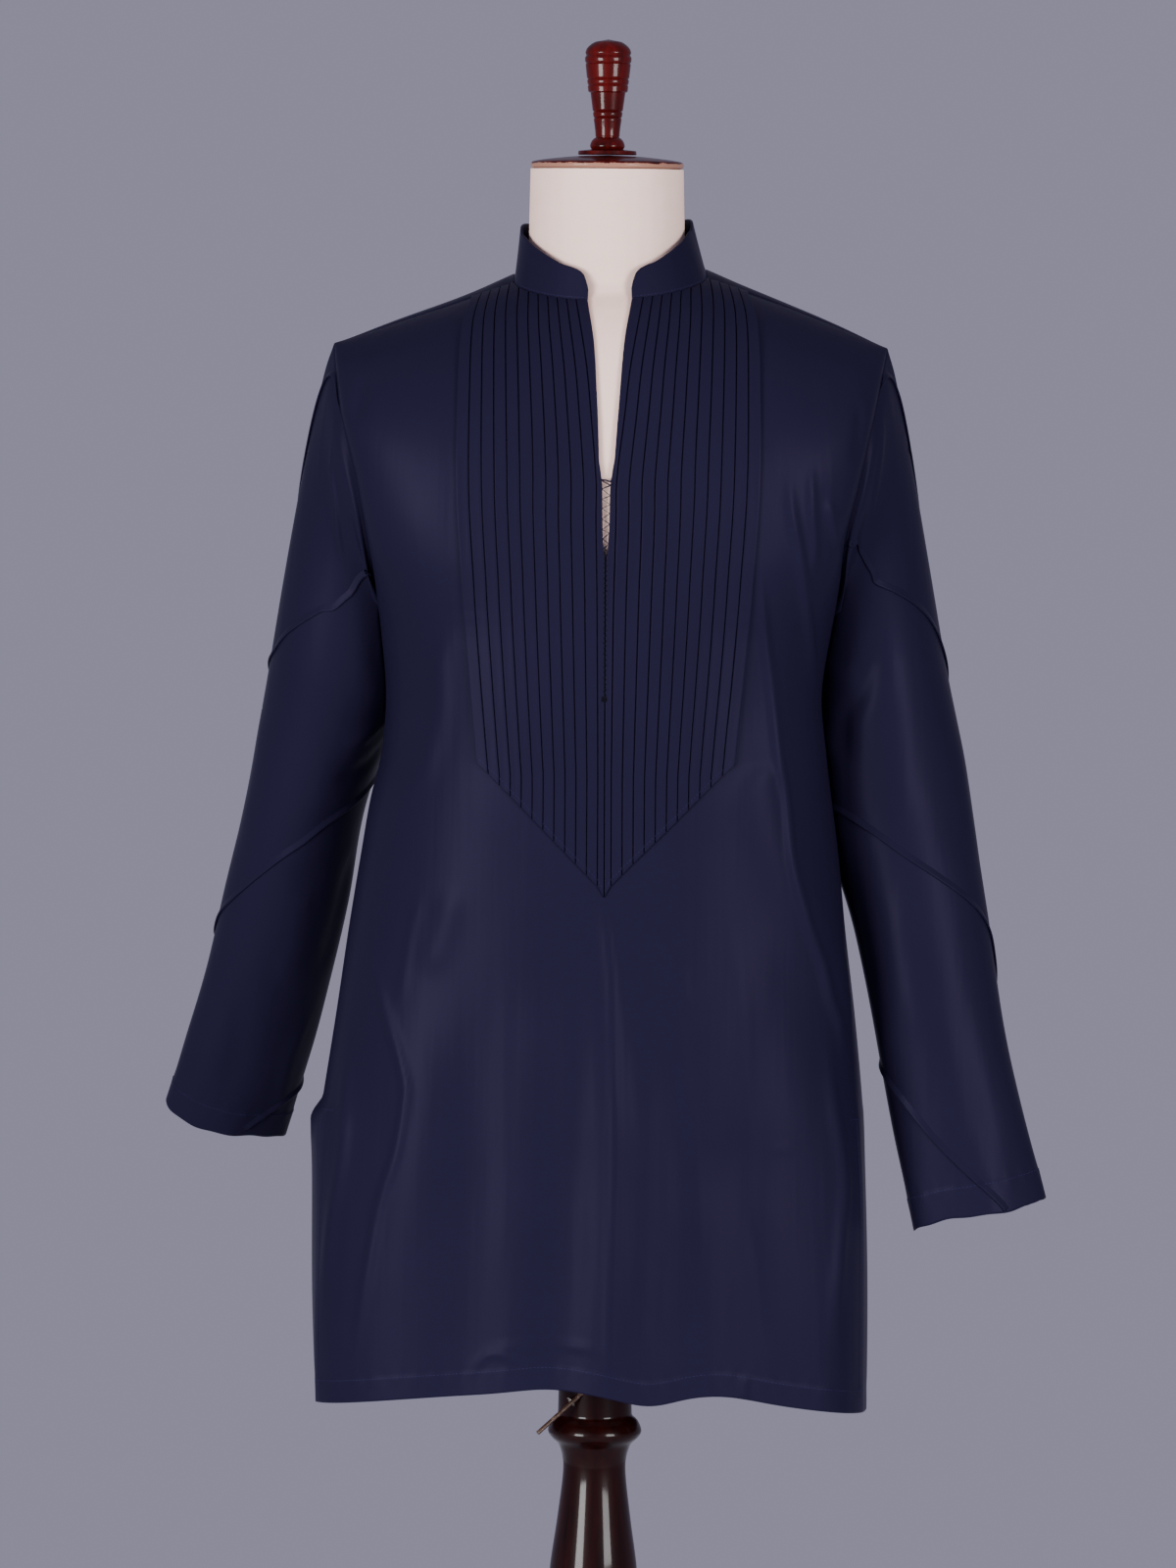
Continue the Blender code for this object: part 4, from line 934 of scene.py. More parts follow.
@dataclass
class Bib:
    """The pointed bib: in each half, twelve tucks whose folded edges lie to the outside."""

    body: WornBody
    base: float = 0.0009          # underside of the bib above the panel's middle
    cloth: float = 0.0009
    fold: float = 0.0010          # how far a fold stands up
    groove: float = 0.0008        # depth of the gap beside it
    top: float = 1.992
    foot_margin: float = 0.007    # how far above the slanting foot the tucks' stitches start
    rows: tuple[int, int] = (60, 84)
    section: Rows = (             # share across a tuck, height in folds, depth in grooves
        (0.0, 0.0, 1.0), (.020, 0.0, .9), (.035, .45, 0.0), (.060, .58, 0.0), (.20, .62, 0.0),
        (.45, .66, 0.0), (.70, .80, 0.0), (.84, .97, 0.0), (.885, 1.00, 0.0), (.915, .90, 0.0),
        (.928, .55, 0.0), (.936, 0.0, .9), (.960, 0.0, 1.0))

    def across(self) -> tuple[Array, Array]:
        """Shares across a half and the height there."""
        share, height = [], []
        for tuck in range(self.body.tucks):
            for at, up, down in self.section:
                if tuck == 0 and at == 0.0:
                    up, down = 0.0, 0.0
                if tuck == self.body.tucks - 1 and at > 0.9:
                    up, down = 0.9, 0.0
                share.append((tuck + at) / self.body.tucks)
                height.append(up * self.fold - down * self.groove)
        share += [0.998, 1.0]
        height += [0.75 * self.fold, -0.2 * self.fold]
        return np.array(share), np.array(height)

    def half(self, direction: int, name: str, crepe: bpy.types.Material) -> bpy.types.Object:
        """Make one half.

        Args:
            direction: -1 for the left, +1 for the right.
            name: Name of the piece and of its CAD node.
            crepe: The cloth's finish.

        Returns:
            The finished piece.
        """
        body = self.body
        share, height = self.across()
        foot_z = mix(body.bib_tip_z, body.bib_corner_z, share)
        foot = body.skirt_level(body.bib_share(direction, share, np.ones_like(share)), foot_z)
        low = np.linspace(0, 1, self.rows[0], endpoint=False)[:, None]
        low = np.concatenate([[[0.0], [0.006]], low[1:]])
        high = np.linspace(0, 1, self.rows[1])[:, None] ** SPACING
        level = np.concatenate([mix(foot[None], 1.0, low), mix(1.0, self.top, high) + 0 * share[None]])
        wide = np.repeat(share[None], len(level), axis=0)
        place = body.bib_share(direction, wide, level)
        rise = np.repeat(height[None], len(level), axis=0)
        rise[0] = np.minimum(rise[0], -0.2 * self.fold)
        outer = body.point(Side.FRONT, place, level, self.base + self.cloth + rise)
        inner = body.point(Side.FRONT, place, level, self.base)
        count = level.size
        upper = np.arange(count).reshape(level.shape)
        lower = upper + count
        flip = direction < 0
        faces = grid_faces(upper, flip=flip) + grid_faces(lower, flip=not flip)
        for a, b in ((upper[0], lower[0]), (upper[-1][::-1], lower[-1][::-1]),
                     (upper[::-1, 0], lower[::-1, 0]), (upper[:, -1], lower[:, -1])):
            faces += grid_faces(np.stack([b, a]), flip=flip)
        piece = add_mesh(name + "_pintucked", np.concatenate([outer.reshape(-1, 3), inner.reshape(-1, 3)]),
                         faces, crepe, 55)
        return declare(piece, Slot.CLOTH, name)

    def seam(self, direction: int, tuck: float, low: float, high: float, count: int = 400) -> Array:
        """Points of a stitch line that runs up a tuck.

        Args:
            direction: -1 for the left, +1 for the right.
            tuck: Where it lies, counted in tucks from the slit.
            low: Level it starts at; below the bib's slanting foot it starts on that foot.
            high: Level it ends at.
            count: How many points.

        Returns:
            The points, just above the cloth.
        """
        body = self.body
        share = np.full(count, tuck / body.tucks)
        foot_z = mix(body.bib_tip_z, body.bib_corner_z, share) + self.foot_margin
        start = np.maximum(body.skirt_level(body.bib_share(direction, share, np.ones(count)), foot_z), low)
        level = mix(start, high, np.linspace(0, 1, count))
        above = np.maximum(level - 1, 0) / (high - 1)
        level = np.where(level > 1, 1 + (high - 1) * above ** 1.5, level)
        place = body.bib_share(direction, share, level)
        return body.point(Side.FRONT, place, level, self.base + self.cloth + 0.00012)

    def foot_seam(self, direction: int, inward: float, count: int = 120) -> Array:
        """Points of the stitch line along the slanting foot, this far inside it."""
        body = self.body
        share = np.linspace(0.03, 0.965, count)
        foot_z = mix(body.bib_tip_z, body.bib_corner_z, share) + inward * 1.45
        level = body.skirt_level(body.bib_share(direction, share, np.ones(count)), foot_z)
        place = body.bib_share(direction, share, level)
        return body.point(Side.FRONT, place, level, self.base + self.cloth + self.fold * 0.9)


# ================================================================ collar

@dataclass
class Collar:
    """The stand collar: a stiff band that leans to the neck, with rounded front ends."""

    body: WornBody
    side_height: float = 0.0385
    back_height: float = 0.030
    end: Table = Table(("height",), (
        (0.0, .0075), (.0015, .0130), (.0046, .0196), (.012, .0240), (.025, .0268),
        (.040, .0310), (.056, .0345), (.080, .0385)))
    top_radius: float = 0.0672
    neck_y: float = 0.001
    cloth: float = 0.0018
    seat: float = 0.0010
    steps: int = 190
    rows: int = 12

    def neckline(self) -> Array:
        """The neckline from the slit's left edge round the back to its right edge."""
        body = self.body
        top = body.smooth_point(Side.FRONT, np.zeros(1), np.full(1, 2.0))[:, 2]
        start = body.slit.read("half", top)[0] / body.seam_x / body.neck_width
        run = np.linspace(0, 1, self.steps + 1)
        run = run - 0.12 * np.sin(math.tau * run)
        angle = mix(math.asin(start), math.tau - math.asin(start), run)
        share = -body.neck_width * np.sin(angle)
        return body.either_point(np.cos(angle) >= 0, share, np.full_like(share, 2.0))

    def line(self, share: float, away: float, extra: float = 0.0) -> Array:
        """Points round the band at a share of its height, this far out from its middle layer."""
        base = self.neckline()
        run = np.concatenate([[0], np.cumsum(np.linalg.norm(np.diff(base, axis=0), axis=1))])
        back = np.clip(base[:, 1] / self.body.neck_back_y, 0, 1)
        height = mix(self.end.read("height", np.minimum(run, run[-1] - run)), self.back_height, back)
        out = base[:, :2] - np.array([0.0, self.neck_y])
        reach = np.linalg.norm(out, axis=1)
        level = height * share + extra
        radius = mix(reach, self.top_radius, np.clip(level, 0, None) / self.side_height) + away
        flat = out / reach[:, None] * radius[:, None] + np.array([0.0, self.neck_y])
        return np.column_stack([flat, base[:, 2] + self.seat + level])

    def build(self, crepe: bpy.types.Material) -> bpy.types.Object:
        """Make the collar.

        Args:
            crepe: The cloth's finish.

        Returns:
            The finished piece.
        """
        half = self.cloth / 2
        up = [(s, half, 0.0) for s in np.linspace(-0.06, 0.97, self.rows)]
        over = [(1.0, half * math.cos(a), half * math.sin(a) - half) for a in np.linspace(0, math.pi, 7)]
        down = [(s, -half, 0.0) for s in np.linspace(0.97, -0.06, self.rows)]
        points = np.stack([self.line(*place) for place in up + over + down], axis=1)
        count = points.shape[1]
        index = np.arange(points.shape[0] * count).reshape(-1, count)
        faces = grid_faces(index, closed=True)
        faces += [tuple(index[0][::-1]), tuple(index[-1])]
        band = add_mesh("mandarin_collar", points.reshape(-1, 3), faces, crepe, 50)
        return declare(band, Slot.CLOTH, "collar_band")


# ================================================================ sleeves

LEFT_RINGS: Rows = (
    (-.2080, .050, 1.145, .116, .130), (-.2342, .081, 1.050, .0966, .116),
    (-.2540, .112, .955, .0990, .098), (-.2768, .148, .860, .100, .082),
    (-.3065, .184, .764, .101, .068))

RIGHT_RINGS: Rows = (
    (.2217, .048, 1.145, .1076, .128), (.2343, .038, 1.045, .1214, .112),
    (.2572, .022, .945, .1058, .098), (.2783, .008, .830, .1015, .082),
    (.3050, -.006, .713, .107, .068))

LEFT_TUCKS: tuple[Rows, ...] = (
    ((.30, .00), (.20, .02), (.10, .12), (.03, .24), (-.02, .42), (-.12, .75), (-.28, 1.10), (-.4375, 1.45)),
    ((.490, .00), (.488, .09), (.462, .29), (.428, .39), (.362, .49), (.320, .56), (.289, .60), (.25, .65),
     (.21, .68), (.136, .78), (.09, .87), (.04, 1.02), (-.03, 1.25), (-.14, 1.60), (-.28, 2.00), (-.4375, 2.40)),
    ((.56, 1.80), (.50, 1.86), (.42, 1.94), (.33, 2.12), (.27, 2.33), (.21, 2.55), (.10, 3.02), (.03, 3.28),
     (-.02, 3.50), (-.14, 3.80), (-.28, 4.10), (-.4375, 4.40)),
    ((.58, 4.52), (.51, 4.58), (.42, 4.66), (.36, 4.80), (.31, 4.96)),
)
RIGHT_TUCKS: tuple[Rows, ...] = (
    ((.24, .00), (.16, .04), (.09, .12), (.03, .22), (-.03, .42), (-.12, .75), (-.28, 1.10), (-.4375, 1.45)),
    ((.472, .00), (.456, .15), (.400, .36), (.344, .48), (.296, .57), (.274, .62), (.206, .68), (.142, .74),
     (.088, .81), (.038, .92), (-.03, 1.15), (-.14, 1.60), (-.28, 2.00), (-.4375, 2.40)),
    ((.62, 1.84), (.52, 1.90), (.44, 1.98), (.375, 2.10), (.315, 2.29), (.25, 2.55), (.175, 2.79), (.08, 3.04),
     (.02, 3.22), (-.02, 3.45), (-.14, 3.80), (-.28, 4.10), (-.4375, 4.40)),
    ((.56, 3.86), (.50, 3.93), (.44, 4.04), (.375, 4.25), (.31, 4.52), (.25, 4.76), (.20, 4.94), (.19, 4.995)),
)
LEFT_SLEEVE_CREASES = tuple(Crease(*row) for row in (
    (((.262, .16), (.285, .23), (.298, .29), (.300, .37), (.285, .50)), .0040, .0026),
    (((.30, .62), (.33, .95), (.34, 1.30), (.32, 1.70)), .0120, .0022),
    (((.42, 1.10), (.37, 1.30), (.30, 1.42)), .0080, .0014),
    (((.46, 1.40), (.40, 1.62), (.30, 1.80)), .0080, -.0014),
    (((.28, 2.60), (.30, 3.10), (.31, 3.70)), .0140, .0022),
    (((.18, 3.60), (.22, 4.20), (.24, 4.80)), .0120, -.0016),
    (((.44, 2.40), (.42, 3.00), (.40, 3.60)), .0100, -.0018),
    (((.40, 3.80), (.38, 4.30), (.40, 4.85)), .0080, .0014),
    (((.80, .60), (.76, 1.10), (.78, 1.70)), .0120, .0020),
    (((.66, 1.40), (.72, 1.60), (.80, 1.70)), .0080, .0016),
    (((.72, 2.40), (.70, 3.10), (.74, 3.90)), .0120, .0020),
    (((.06, 1.40), (.08, 2.00), (.06, 2.60)), .0140, .0014),
))
RIGHT_SLEEVE_CREASES = tuple(Crease(*row) for row in (
    (((.26, .70), (.27, .90), (.30, 1.17), (.35, 1.42), (.35, 1.85)), .0100, -.0030),
    (((.24, .02), (.285, .15), (.32, .24), (.33, .36)), .0050, .0016),
    (((.20, 1.10), (.22, 1.60), (.24, 2.20)), .0130, .0010),
    (((.42, .80), (.38, .98), (.32, 1.06)), .0070, .0012),
    (((.46, 1.30), (.40, 1.60), (.33, 1.80)), .0080, .0012),
    (((.30, 2.70), (.32, 3.30), (.30, 3.90)), .0130, .0009),
    (((.18, 3.40), (.20, 4.10), (.19, 4.80)), .0130, -.0009),
    (((.42, 2.40), (.43, 3.00), (.42, 3.60)), .0100, -.0011),
    (((.80, .60), (.77, 1.20), (.79, 1.90)), .0120, .0020),
    (((.67, 1.20), (.72, 1.50), (.81, 1.60)), .0080, .0016),
    (((.70, 2.40), (.72, 3.20), (.70, 4.00)), .0120, .0020),
    (((.05, 1.50), (.07, 2.10), (.05, 2.70)), .0140, .0014),
))


@dataclass
class Sleeve:
    """A long sleeve with raised diagonal tucks: turn runs round it, along from armhole to cuff.

    turn is 0 over the shoulder tip, .25 at the front, .5 under the arm and .75 at the back; along
    is 0 at the armhole, 1 at the first ring of the arm and 5 at the cuff.
    """

    body: WornBody
    name: str
    direction: int
    rings: Rows                   # x, y, z of the ring's centre and its two diameters
    tucks: tuple[Rows, ...]
    creases: tuple[Crease, ...]
    cloth: float = 0.0010
    head_puff: float = 0.13
    armhole_ease: float = 0.0021
    body_ease: float = 0.0014
    girth: float = 0.33           # metres of cloth for one turn
    reach: float = 0.10           # metres of cloth for one step along
    hem_depth: float = 0.020
    cuff_slack: float = 0.0016    # how unevenly the cuff's edge hangs
    columns: int = 120
    rows: tuple[int, int, int] = (56, 118, 16)    # over the head, along the arm and at the cuff
    cuff_run: float = 0.25        # how much of the last stretch the cuff's rows take
    turned_in: tuple[float, float] = (0.0042, 0.0012)     # the head's edge, inwards and below the surface
    unevenness: float = 0.0006
    pucker: float = 0.0002        # ripple along the cuff's stitches
    seam_dip: float = 0.0017      # how deep the armhole seam lies
    cuff_wave: float = 0.0011     # how far the loose cloth near the cuff waves
    turned_up: float = 0.0004     # how far the cuff's doubled edge stands up
    tuck_rise: float = 0.0018
    tuck_width: float = 0.0048

    def armhole(self, turn: Array) -> Array:
        """The armhole edge of the body, a little further out."""
        turn = turn % 1.0
        front = turn <= 0.5
        level = 1.0 + np.where(front, 1.0 - turn * 2, turn * 2 - 1.0)
        points = self.body.either_point(front, np.full_like(level, float(self.direction)), level)
        return points + np.array([self.direction * self.armhole_ease, 0.0, 0.0])

    def ring(self, index: int, turn: Array) -> Array:
        """Points of one ring of the arm, square to the arm's run."""
        rings = np.array(self.rings)
        x, y, z, wide, deep = rings[index]
        run = unit(rings[min(index + 1, len(rings) - 1), :3] - rings[max(index - 1, 0), :3])
        outward = np.array([float(self.direction), 0.0, 0.0])
        outward = unit(outward - run * outward.dot(run))
        forward = np.array([0.0, -1.0, 0.0])
        forward = unit(forward - run * forward.dot(run))
        angle = turn * math.tau
        return (np.array([x, y, z]) + outward * (np.cos(angle) * wide / 2)[..., None]
                + forward * (np.sin(angle) * deep / 2)[..., None])

    def clear_of_body(self, points: Array) -> Array:
        """Push points out to the body's plan plus a little ease."""
        body = self.body
        x, y, z = points[..., 0], points[..., 1], points[..., 2]
        half = body.outline.read("left" if self.direction < 0 else "right", z) + self.body_ease
        middle = np.where(y < body.side_y, body.outline.read("front", z), body.outline.read("back", z))
        depth = np.abs(middle - body.side_y) + self.body_ease
        share = np.minimum(np.abs(y - body.side_y) / depth, 1.0)
        least = half * (1.0 - share ** body.squareness) ** (1.0 / body.squareness)
        push = (z <= body.armpit_z - 0.004) & (np.abs(x) < least)
        out = points.copy()
        out[..., 0] = np.where(push, self.direction * least, x)
        return out

    def smooth_point(self, turn: Array, along: Array) -> Array:
        """Points of the sleeve without creases."""
        turn, along = np.broadcast_arrays(np.asarray(turn, float), np.asarray(along, float))
        shape = turn.shape
        turn, along = turn.ravel(), along.ravel()
        stations = np.stack([self.armhole(turn)] + [self.ring(i, turn) for i in range(len(self.rings))])
        last = len(stations) - 1
        index = np.clip(along.astype(int), 0, last - 1)
        here = np.arange(len(turn))
        t = (along - index)[:, None]
        start, end = stations[index, here], stations[index + 1, here]
        before, after = stations[np.maximum(index - 1, 0), here], stations[np.minimum(index + 2, last), here]
        drop = start[:, 2] - end[:, 2]
        head = np.stack([self.direction * (self.head_puff * drop + 0.02), 0 * drop, -0.8 * drop], axis=-1)
        first, second = (index == 0)[:, None], (index == 1)[:, None]
        into = np.where(first, head, np.where(second, end - start, (end - before) / 2))
        out_of = np.where((index == last - 1)[:, None], end - start,
                          np.where(first, after - end, (after - start) / 2))
        points = self.clear_of_body(hermite(t, start, end, into, out_of))
        slack = self.cuff_slack * np.sin(math.tau * (3 * turn + 0.2)) * smooth((along - CUFF + 0.45) / 0.45)
        points[:, 2] += slack * (1 + 0.6 * np.sin(math.tau * 7 * turn))
        return points.reshape(*shape, 3)

    def runs(self, turn: Array, along: Array, step: float, stride: float) -> tuple[Array, Array]:
        """How the surface runs round, over two steps, and down, over two strides."""
        return (self.smooth_point(turn + step, along) - self.smooth_point(turn - step, along),
                self.smooth_point(turn, np.minimum(along + stride, CUFF))
                - self.smooth_point(turn, np.maximum(along - stride, 0.0)))

    def normal(self, turn: Array, along: Array) -> Array:
        """The outward direction of the sleeve's surface."""
        round_it, down = self.runs(turn, along, 0.004, 0.02)
        normal = unit(np.cross(down, round_it))
        across = self.smooth_point(turn, along) - self.smooth_point(turn + 0.5, along)
        return normal * np.sign((normal * across).sum(axis=-1, keepdims=True))

    def height(self, turn: Array, along: Array) -> Array:
        """Sum of the creases, the cuff's hem and a faint unevenness."""
        total = self.unevenness * np.sin(turn * math.tau * 2 + along * 1.7) * np.sin(along * 3.1 + 1.0)
        for crease in self.creases:
            path = tuple((u * self.girth, v * self.reach) for u, v in crease.path)
            scaled = Crease(path, crease.width, crease.height, crease.lean, crease.fade)
            middle = np.mean([u for u, _ in crease.path])
            near = middle + (turn - middle + 0.5) % 1.0 - 0.5
            total = total + scaled.rise(near * self.girth, along * self.reach)
        left = (CUFF - along) * self.reach
        pucker = self.pucker * np.sin(turn * self.girth * 400) * np.exp(-((left - self.hem_depth) / 0.006) ** 2)
        seam = -self.seam_dip * np.exp(-(along / 0.06) ** 2)
        loose = self.cuff_wave * np.sin(turn * math.tau * 5 + self.direction) * smooth((along - CUFF + 0.7) / 0.7)
        return (total * smooth(along / 0.3) + pucker + seam + loose
                + self.turned_up * (1.0 - smooth((left - self.hem_depth) / 0.0015)))

    def point(self, turn: Array, along: Array, lift: Array | float = 0.0) -> Array:
        """Points of the sleeve with its creases, lifted off the surface by lift."""
        height = self.height(turn, along) + lift
        return self.smooth_point(turn, along) + self.normal(turn, along) * height[..., None]

    def build(self, crepe: bpy.types.Material) -> list[bpy.types.Object]:
        """Make the sleeve and its raised tucks.

        Args:
            crepe: The cloth's finish.

        Returns:
            The finished sleeve, then its tucks.
        """
        turns = np.arange(self.columns) / self.columns
        head, arm, cuff = self.rows
        along = np.concatenate([np.linspace(0, 1, head, endpoint=False),
                                np.linspace(1, CUFF - self.cuff_run, arm, endpoint=False),
                                np.linspace(CUFF - self.cuff_run, CUFF, cuff)])
        turn, along = np.meshgrid(turns, along)
        points = self.point(turn, along)
        inwards, below = self.turned_in
        under = self.armhole(turns) - self.normal(turns, np.zeros_like(turns)) * below
        under[:, 0] -= self.direction * inwards
        points = np.concatenate([under[None], points])
        index = np.arange(points.shape[0] * points.shape[1]).reshape(points.shape[:2])
        faces = grid_faces(index, closed=True, flip=self.direction < 0)
        sleeve = thicken(add_mesh(self.name + "_cloth", points.reshape(-1, 3), faces, crepe), self.cloth)
        declare(sleeve, Slot.CLOTH, self.name)
        return [sleeve] + [self.build_tuck(number, path, crepe) for number, path in enumerate(self.tucks, start=1)]

    def build_tuck(self, number: int, path: Rows, crepe: bpy.types.Material) -> bpy.types.Object:
        """Make one tuck: a flat fold whose lower edge stands off the sleeve.

        Args:
            number: Its number, from the shoulder down.
            path: Places that its folded edge runs through.
            crepe: The cloth's finish.

        Returns:
            The finished piece.
        """
        curve = Crease(path, 1.0, 1.0).curve(18)
        turn, along = curve[:, 0], np.clip(curve[:, 1], 0.0, CUFF)
        step = 0.002
        by_turn, by_along = (run / (2 * step) for run in self.runs(turn, along, step, step))
        run = unit(np.gradient(self.smooth_point(turn, along), axis=0))
        down = np.cross(self.normal(turn, along), run)
        down *= np.sign((down * by_along).sum(axis=-1, keepdims=True))
        a, b, c = ((p * q).sum(axis=-1) for p, q in ((by_turn, by_turn), (by_turn, by_along), (by_along, by_along)))
        d, e = (down * by_turn).sum(axis=-1), (down * by_along).sum(axis=-1)
        area = a * c - b * b
        turn_step, along_step = (c * d - b * e) / area, (a * e - b * d) / area
        skin = self.cloth / 2
        ends = smooth(np.minimum(np.arange(len(turn)), np.arange(len(turn))[::-1]) / 6.0)
        section = ((-self.tuck_width, skin + 0.0001), (-0.65 * self.tuck_width, skin + 0.45 * self.tuck_rise),
                   (-0.3 * self.tuck_width, skin + 0.72 * self.tuck_rise), (-0.0006, skin + self.tuck_rise),
                   (0.0002, skin + 0.9 * self.tuck_rise), (0.0005, skin + 0.6 * self.tuck_rise),
                   (0.0001, skin + 0.2 * self.tuck_rise), (-0.001, skin + 0.0001),
                   (-0.5 * self.tuck_width, skin - 0.0003))
        rows = []
        for away, lift in section:
            at = np.clip(along + along_step * away, 0.0, CUFF)
            rise = mix(skin, lift, ends) if lift > skin else lift + 0 * ends
            rows.append(self.point(turn + turn_step * away, at, rise))
        points = np.stack(rows, axis=1)
        index = np.arange(points.shape[0] * points.shape[1]).reshape(points.shape[:2])
        flip = self.direction > 0
        faces = grid_faces(index, closed=True, flip=flip)
        caps = [tuple(index[0]), tuple(index[-1][::-1])]
        faces += [cap[::-1] for cap in caps] if flip else caps
        node = f"{self.name}_tuck_{number}"
        return declare(add_mesh(node + "_fold", points.reshape(-1, 3), faces, crepe, 60), Slot.CLOTH, node)


# ================================================================ stitching and lacing

@dataclass
class Thread:
    """Thread along paths, made by a Geometry Nodes tree whose inputs are its sizes."""

    thickness: float

    def lay(self, tree: bpy.types.NodeTree, given: Any, curve: Socket, radius: Socket) -> Socket:
        """Add the nodes that lay the thread.

        Args:
            tree: The tree.
            given: Its inputs, by name.
            curve: The paths.
            radius: Half the thickness.

        Returns:
            The threads' geometry.
        """
        raise NotImplementedError

    def run(self, name: str, paths: Sequence[Array], thread: bpy.types.Material,
            slot: Slot = Slot.CLOTH) -> bpy.types.Object:
        """Run thread along open paths and keep it as a plain mesh.

        Args:
            name: Name of the piece.
            paths: One array of points for each path.
            thread: The finish.
            slot: The record's slot for the finish.

        Returns:
            The finished piece.
        """
        tree = bpy.data.node_groups.new(name, "GeometryNodeTree")
        tree.interface.new_socket("Paths", in_out="INPUT", socket_type="NodeSocketGeometry")
        values = {}
        for key, value in {**vars(self), "thread": thread}.items():
            kind = {float: "NodeSocketFloat", int: "NodeSocketInt"}.get(type(value), "NodeSocketMaterial")
            values[tree.interface.new_socket(key.title(), in_out="INPUT", socket_type=kind).identifier] = value
        tree.interface.new_socket("Threads", in_out="OUTPUT", socket_type="NodeSocketGeometry")
        given = add_node(tree, "NodeGroupInput").outputs
        curve = add_node(tree, "GeometryNodeMeshToCurve", {"Mesh": given["Paths"]})
        radius = add_node(tree, "ShaderNodeMath", {0: given["Thickness"], 1: 0.5}, operation="MULTIPLY")
        laid = self.lay(tree, given, curve.outputs["Curve"], radius.outputs["Value"])
        real = add_node(tree, "GeometryNodeRealizeInstances", {"Geometry": laid})
        dyed = add_node(tree, "GeometryNodeSetMaterial", {
            "Geometry": real.outputs["Geometry"], "Material": given["Thread"]})
        add_node(tree, "NodeGroupOutput", {"Threads": dyed.outputs["Geometry"]})
        points, edges = [], []
        for path in paths:
            edges += [(len(points) + i, len(points) + i + 1) for i in range(len(path) - 1)]
            points += [tuple(point) for point in path]
        mesh = bpy.data.meshes.new(name)
        mesh.from_pydata(points, edges, [])
        obj = link(name, mesh)
        modifier = obj.modifiers.new("Thread", "NODES")
        modifier.node_group = tree
        for key, value in values.items():
            modifier[key] = value
        bake(obj)
        if not obj.data.materials:
            obj.data.materials.append(thread)
        return declare(obj, slot)


@dataclass
class StitchGang(Thread):
    """Rows of short stitches."""

    thickness: float = 0.00036
    pitch: float = 0.0030
    length: float = 0.0016

    def lay(self, tree: bpy.types.NodeTree, given: Any, curve: Socket, radius: Socket) -> Socket:
        """Set a short rod at each step along the paths, as Thread.lay says."""
        spots = add_node(tree, "GeometryNodeCurveToPoints", {"Curve": curve, "Length": given["Pitch"]}, mode="LENGTH")
        turn = add_node(tree, "FunctionNodeAlignRotationToVector", {"Vector": spots.outputs["Tangent"]}, axis="Z")
        stitch = add_node(tree, "GeometryNodeMeshCylinder", {
            "Vertices": 5, "Radius": radius, "Depth": given["Length"]})
        return add_node(tree, "GeometryNodeInstanceOnPoints", {
            "Points": spots.outputs["Points"], "Instance": stitch.outputs["Mesh"],
            "Rotation": turn.outputs["Rotation"]}).outputs["Instances"]


@dataclass
class Cord(Thread):
    """A round thread that follows the paths all the way."""

    thickness: float = 0.0009
    sides: int = 7

    def lay(self, tree: bpy.types.NodeTree, given: Any, curve: Socket, radius: Socket) -> Socket:
        """Sweep a circle along the paths, as Thread.lay says."""
        ring = add_node(tree, "GeometryNodeCurvePrimitiveCircle", {"Resolution": given["Sides"], "Radius": radius})
        return add_node(tree, "GeometryNodeCurveToMesh", {
            "Curve": curve, "Profile Curve": ring.outputs["Curve"], "Fill Caps": True}).outputs["Mesh"]


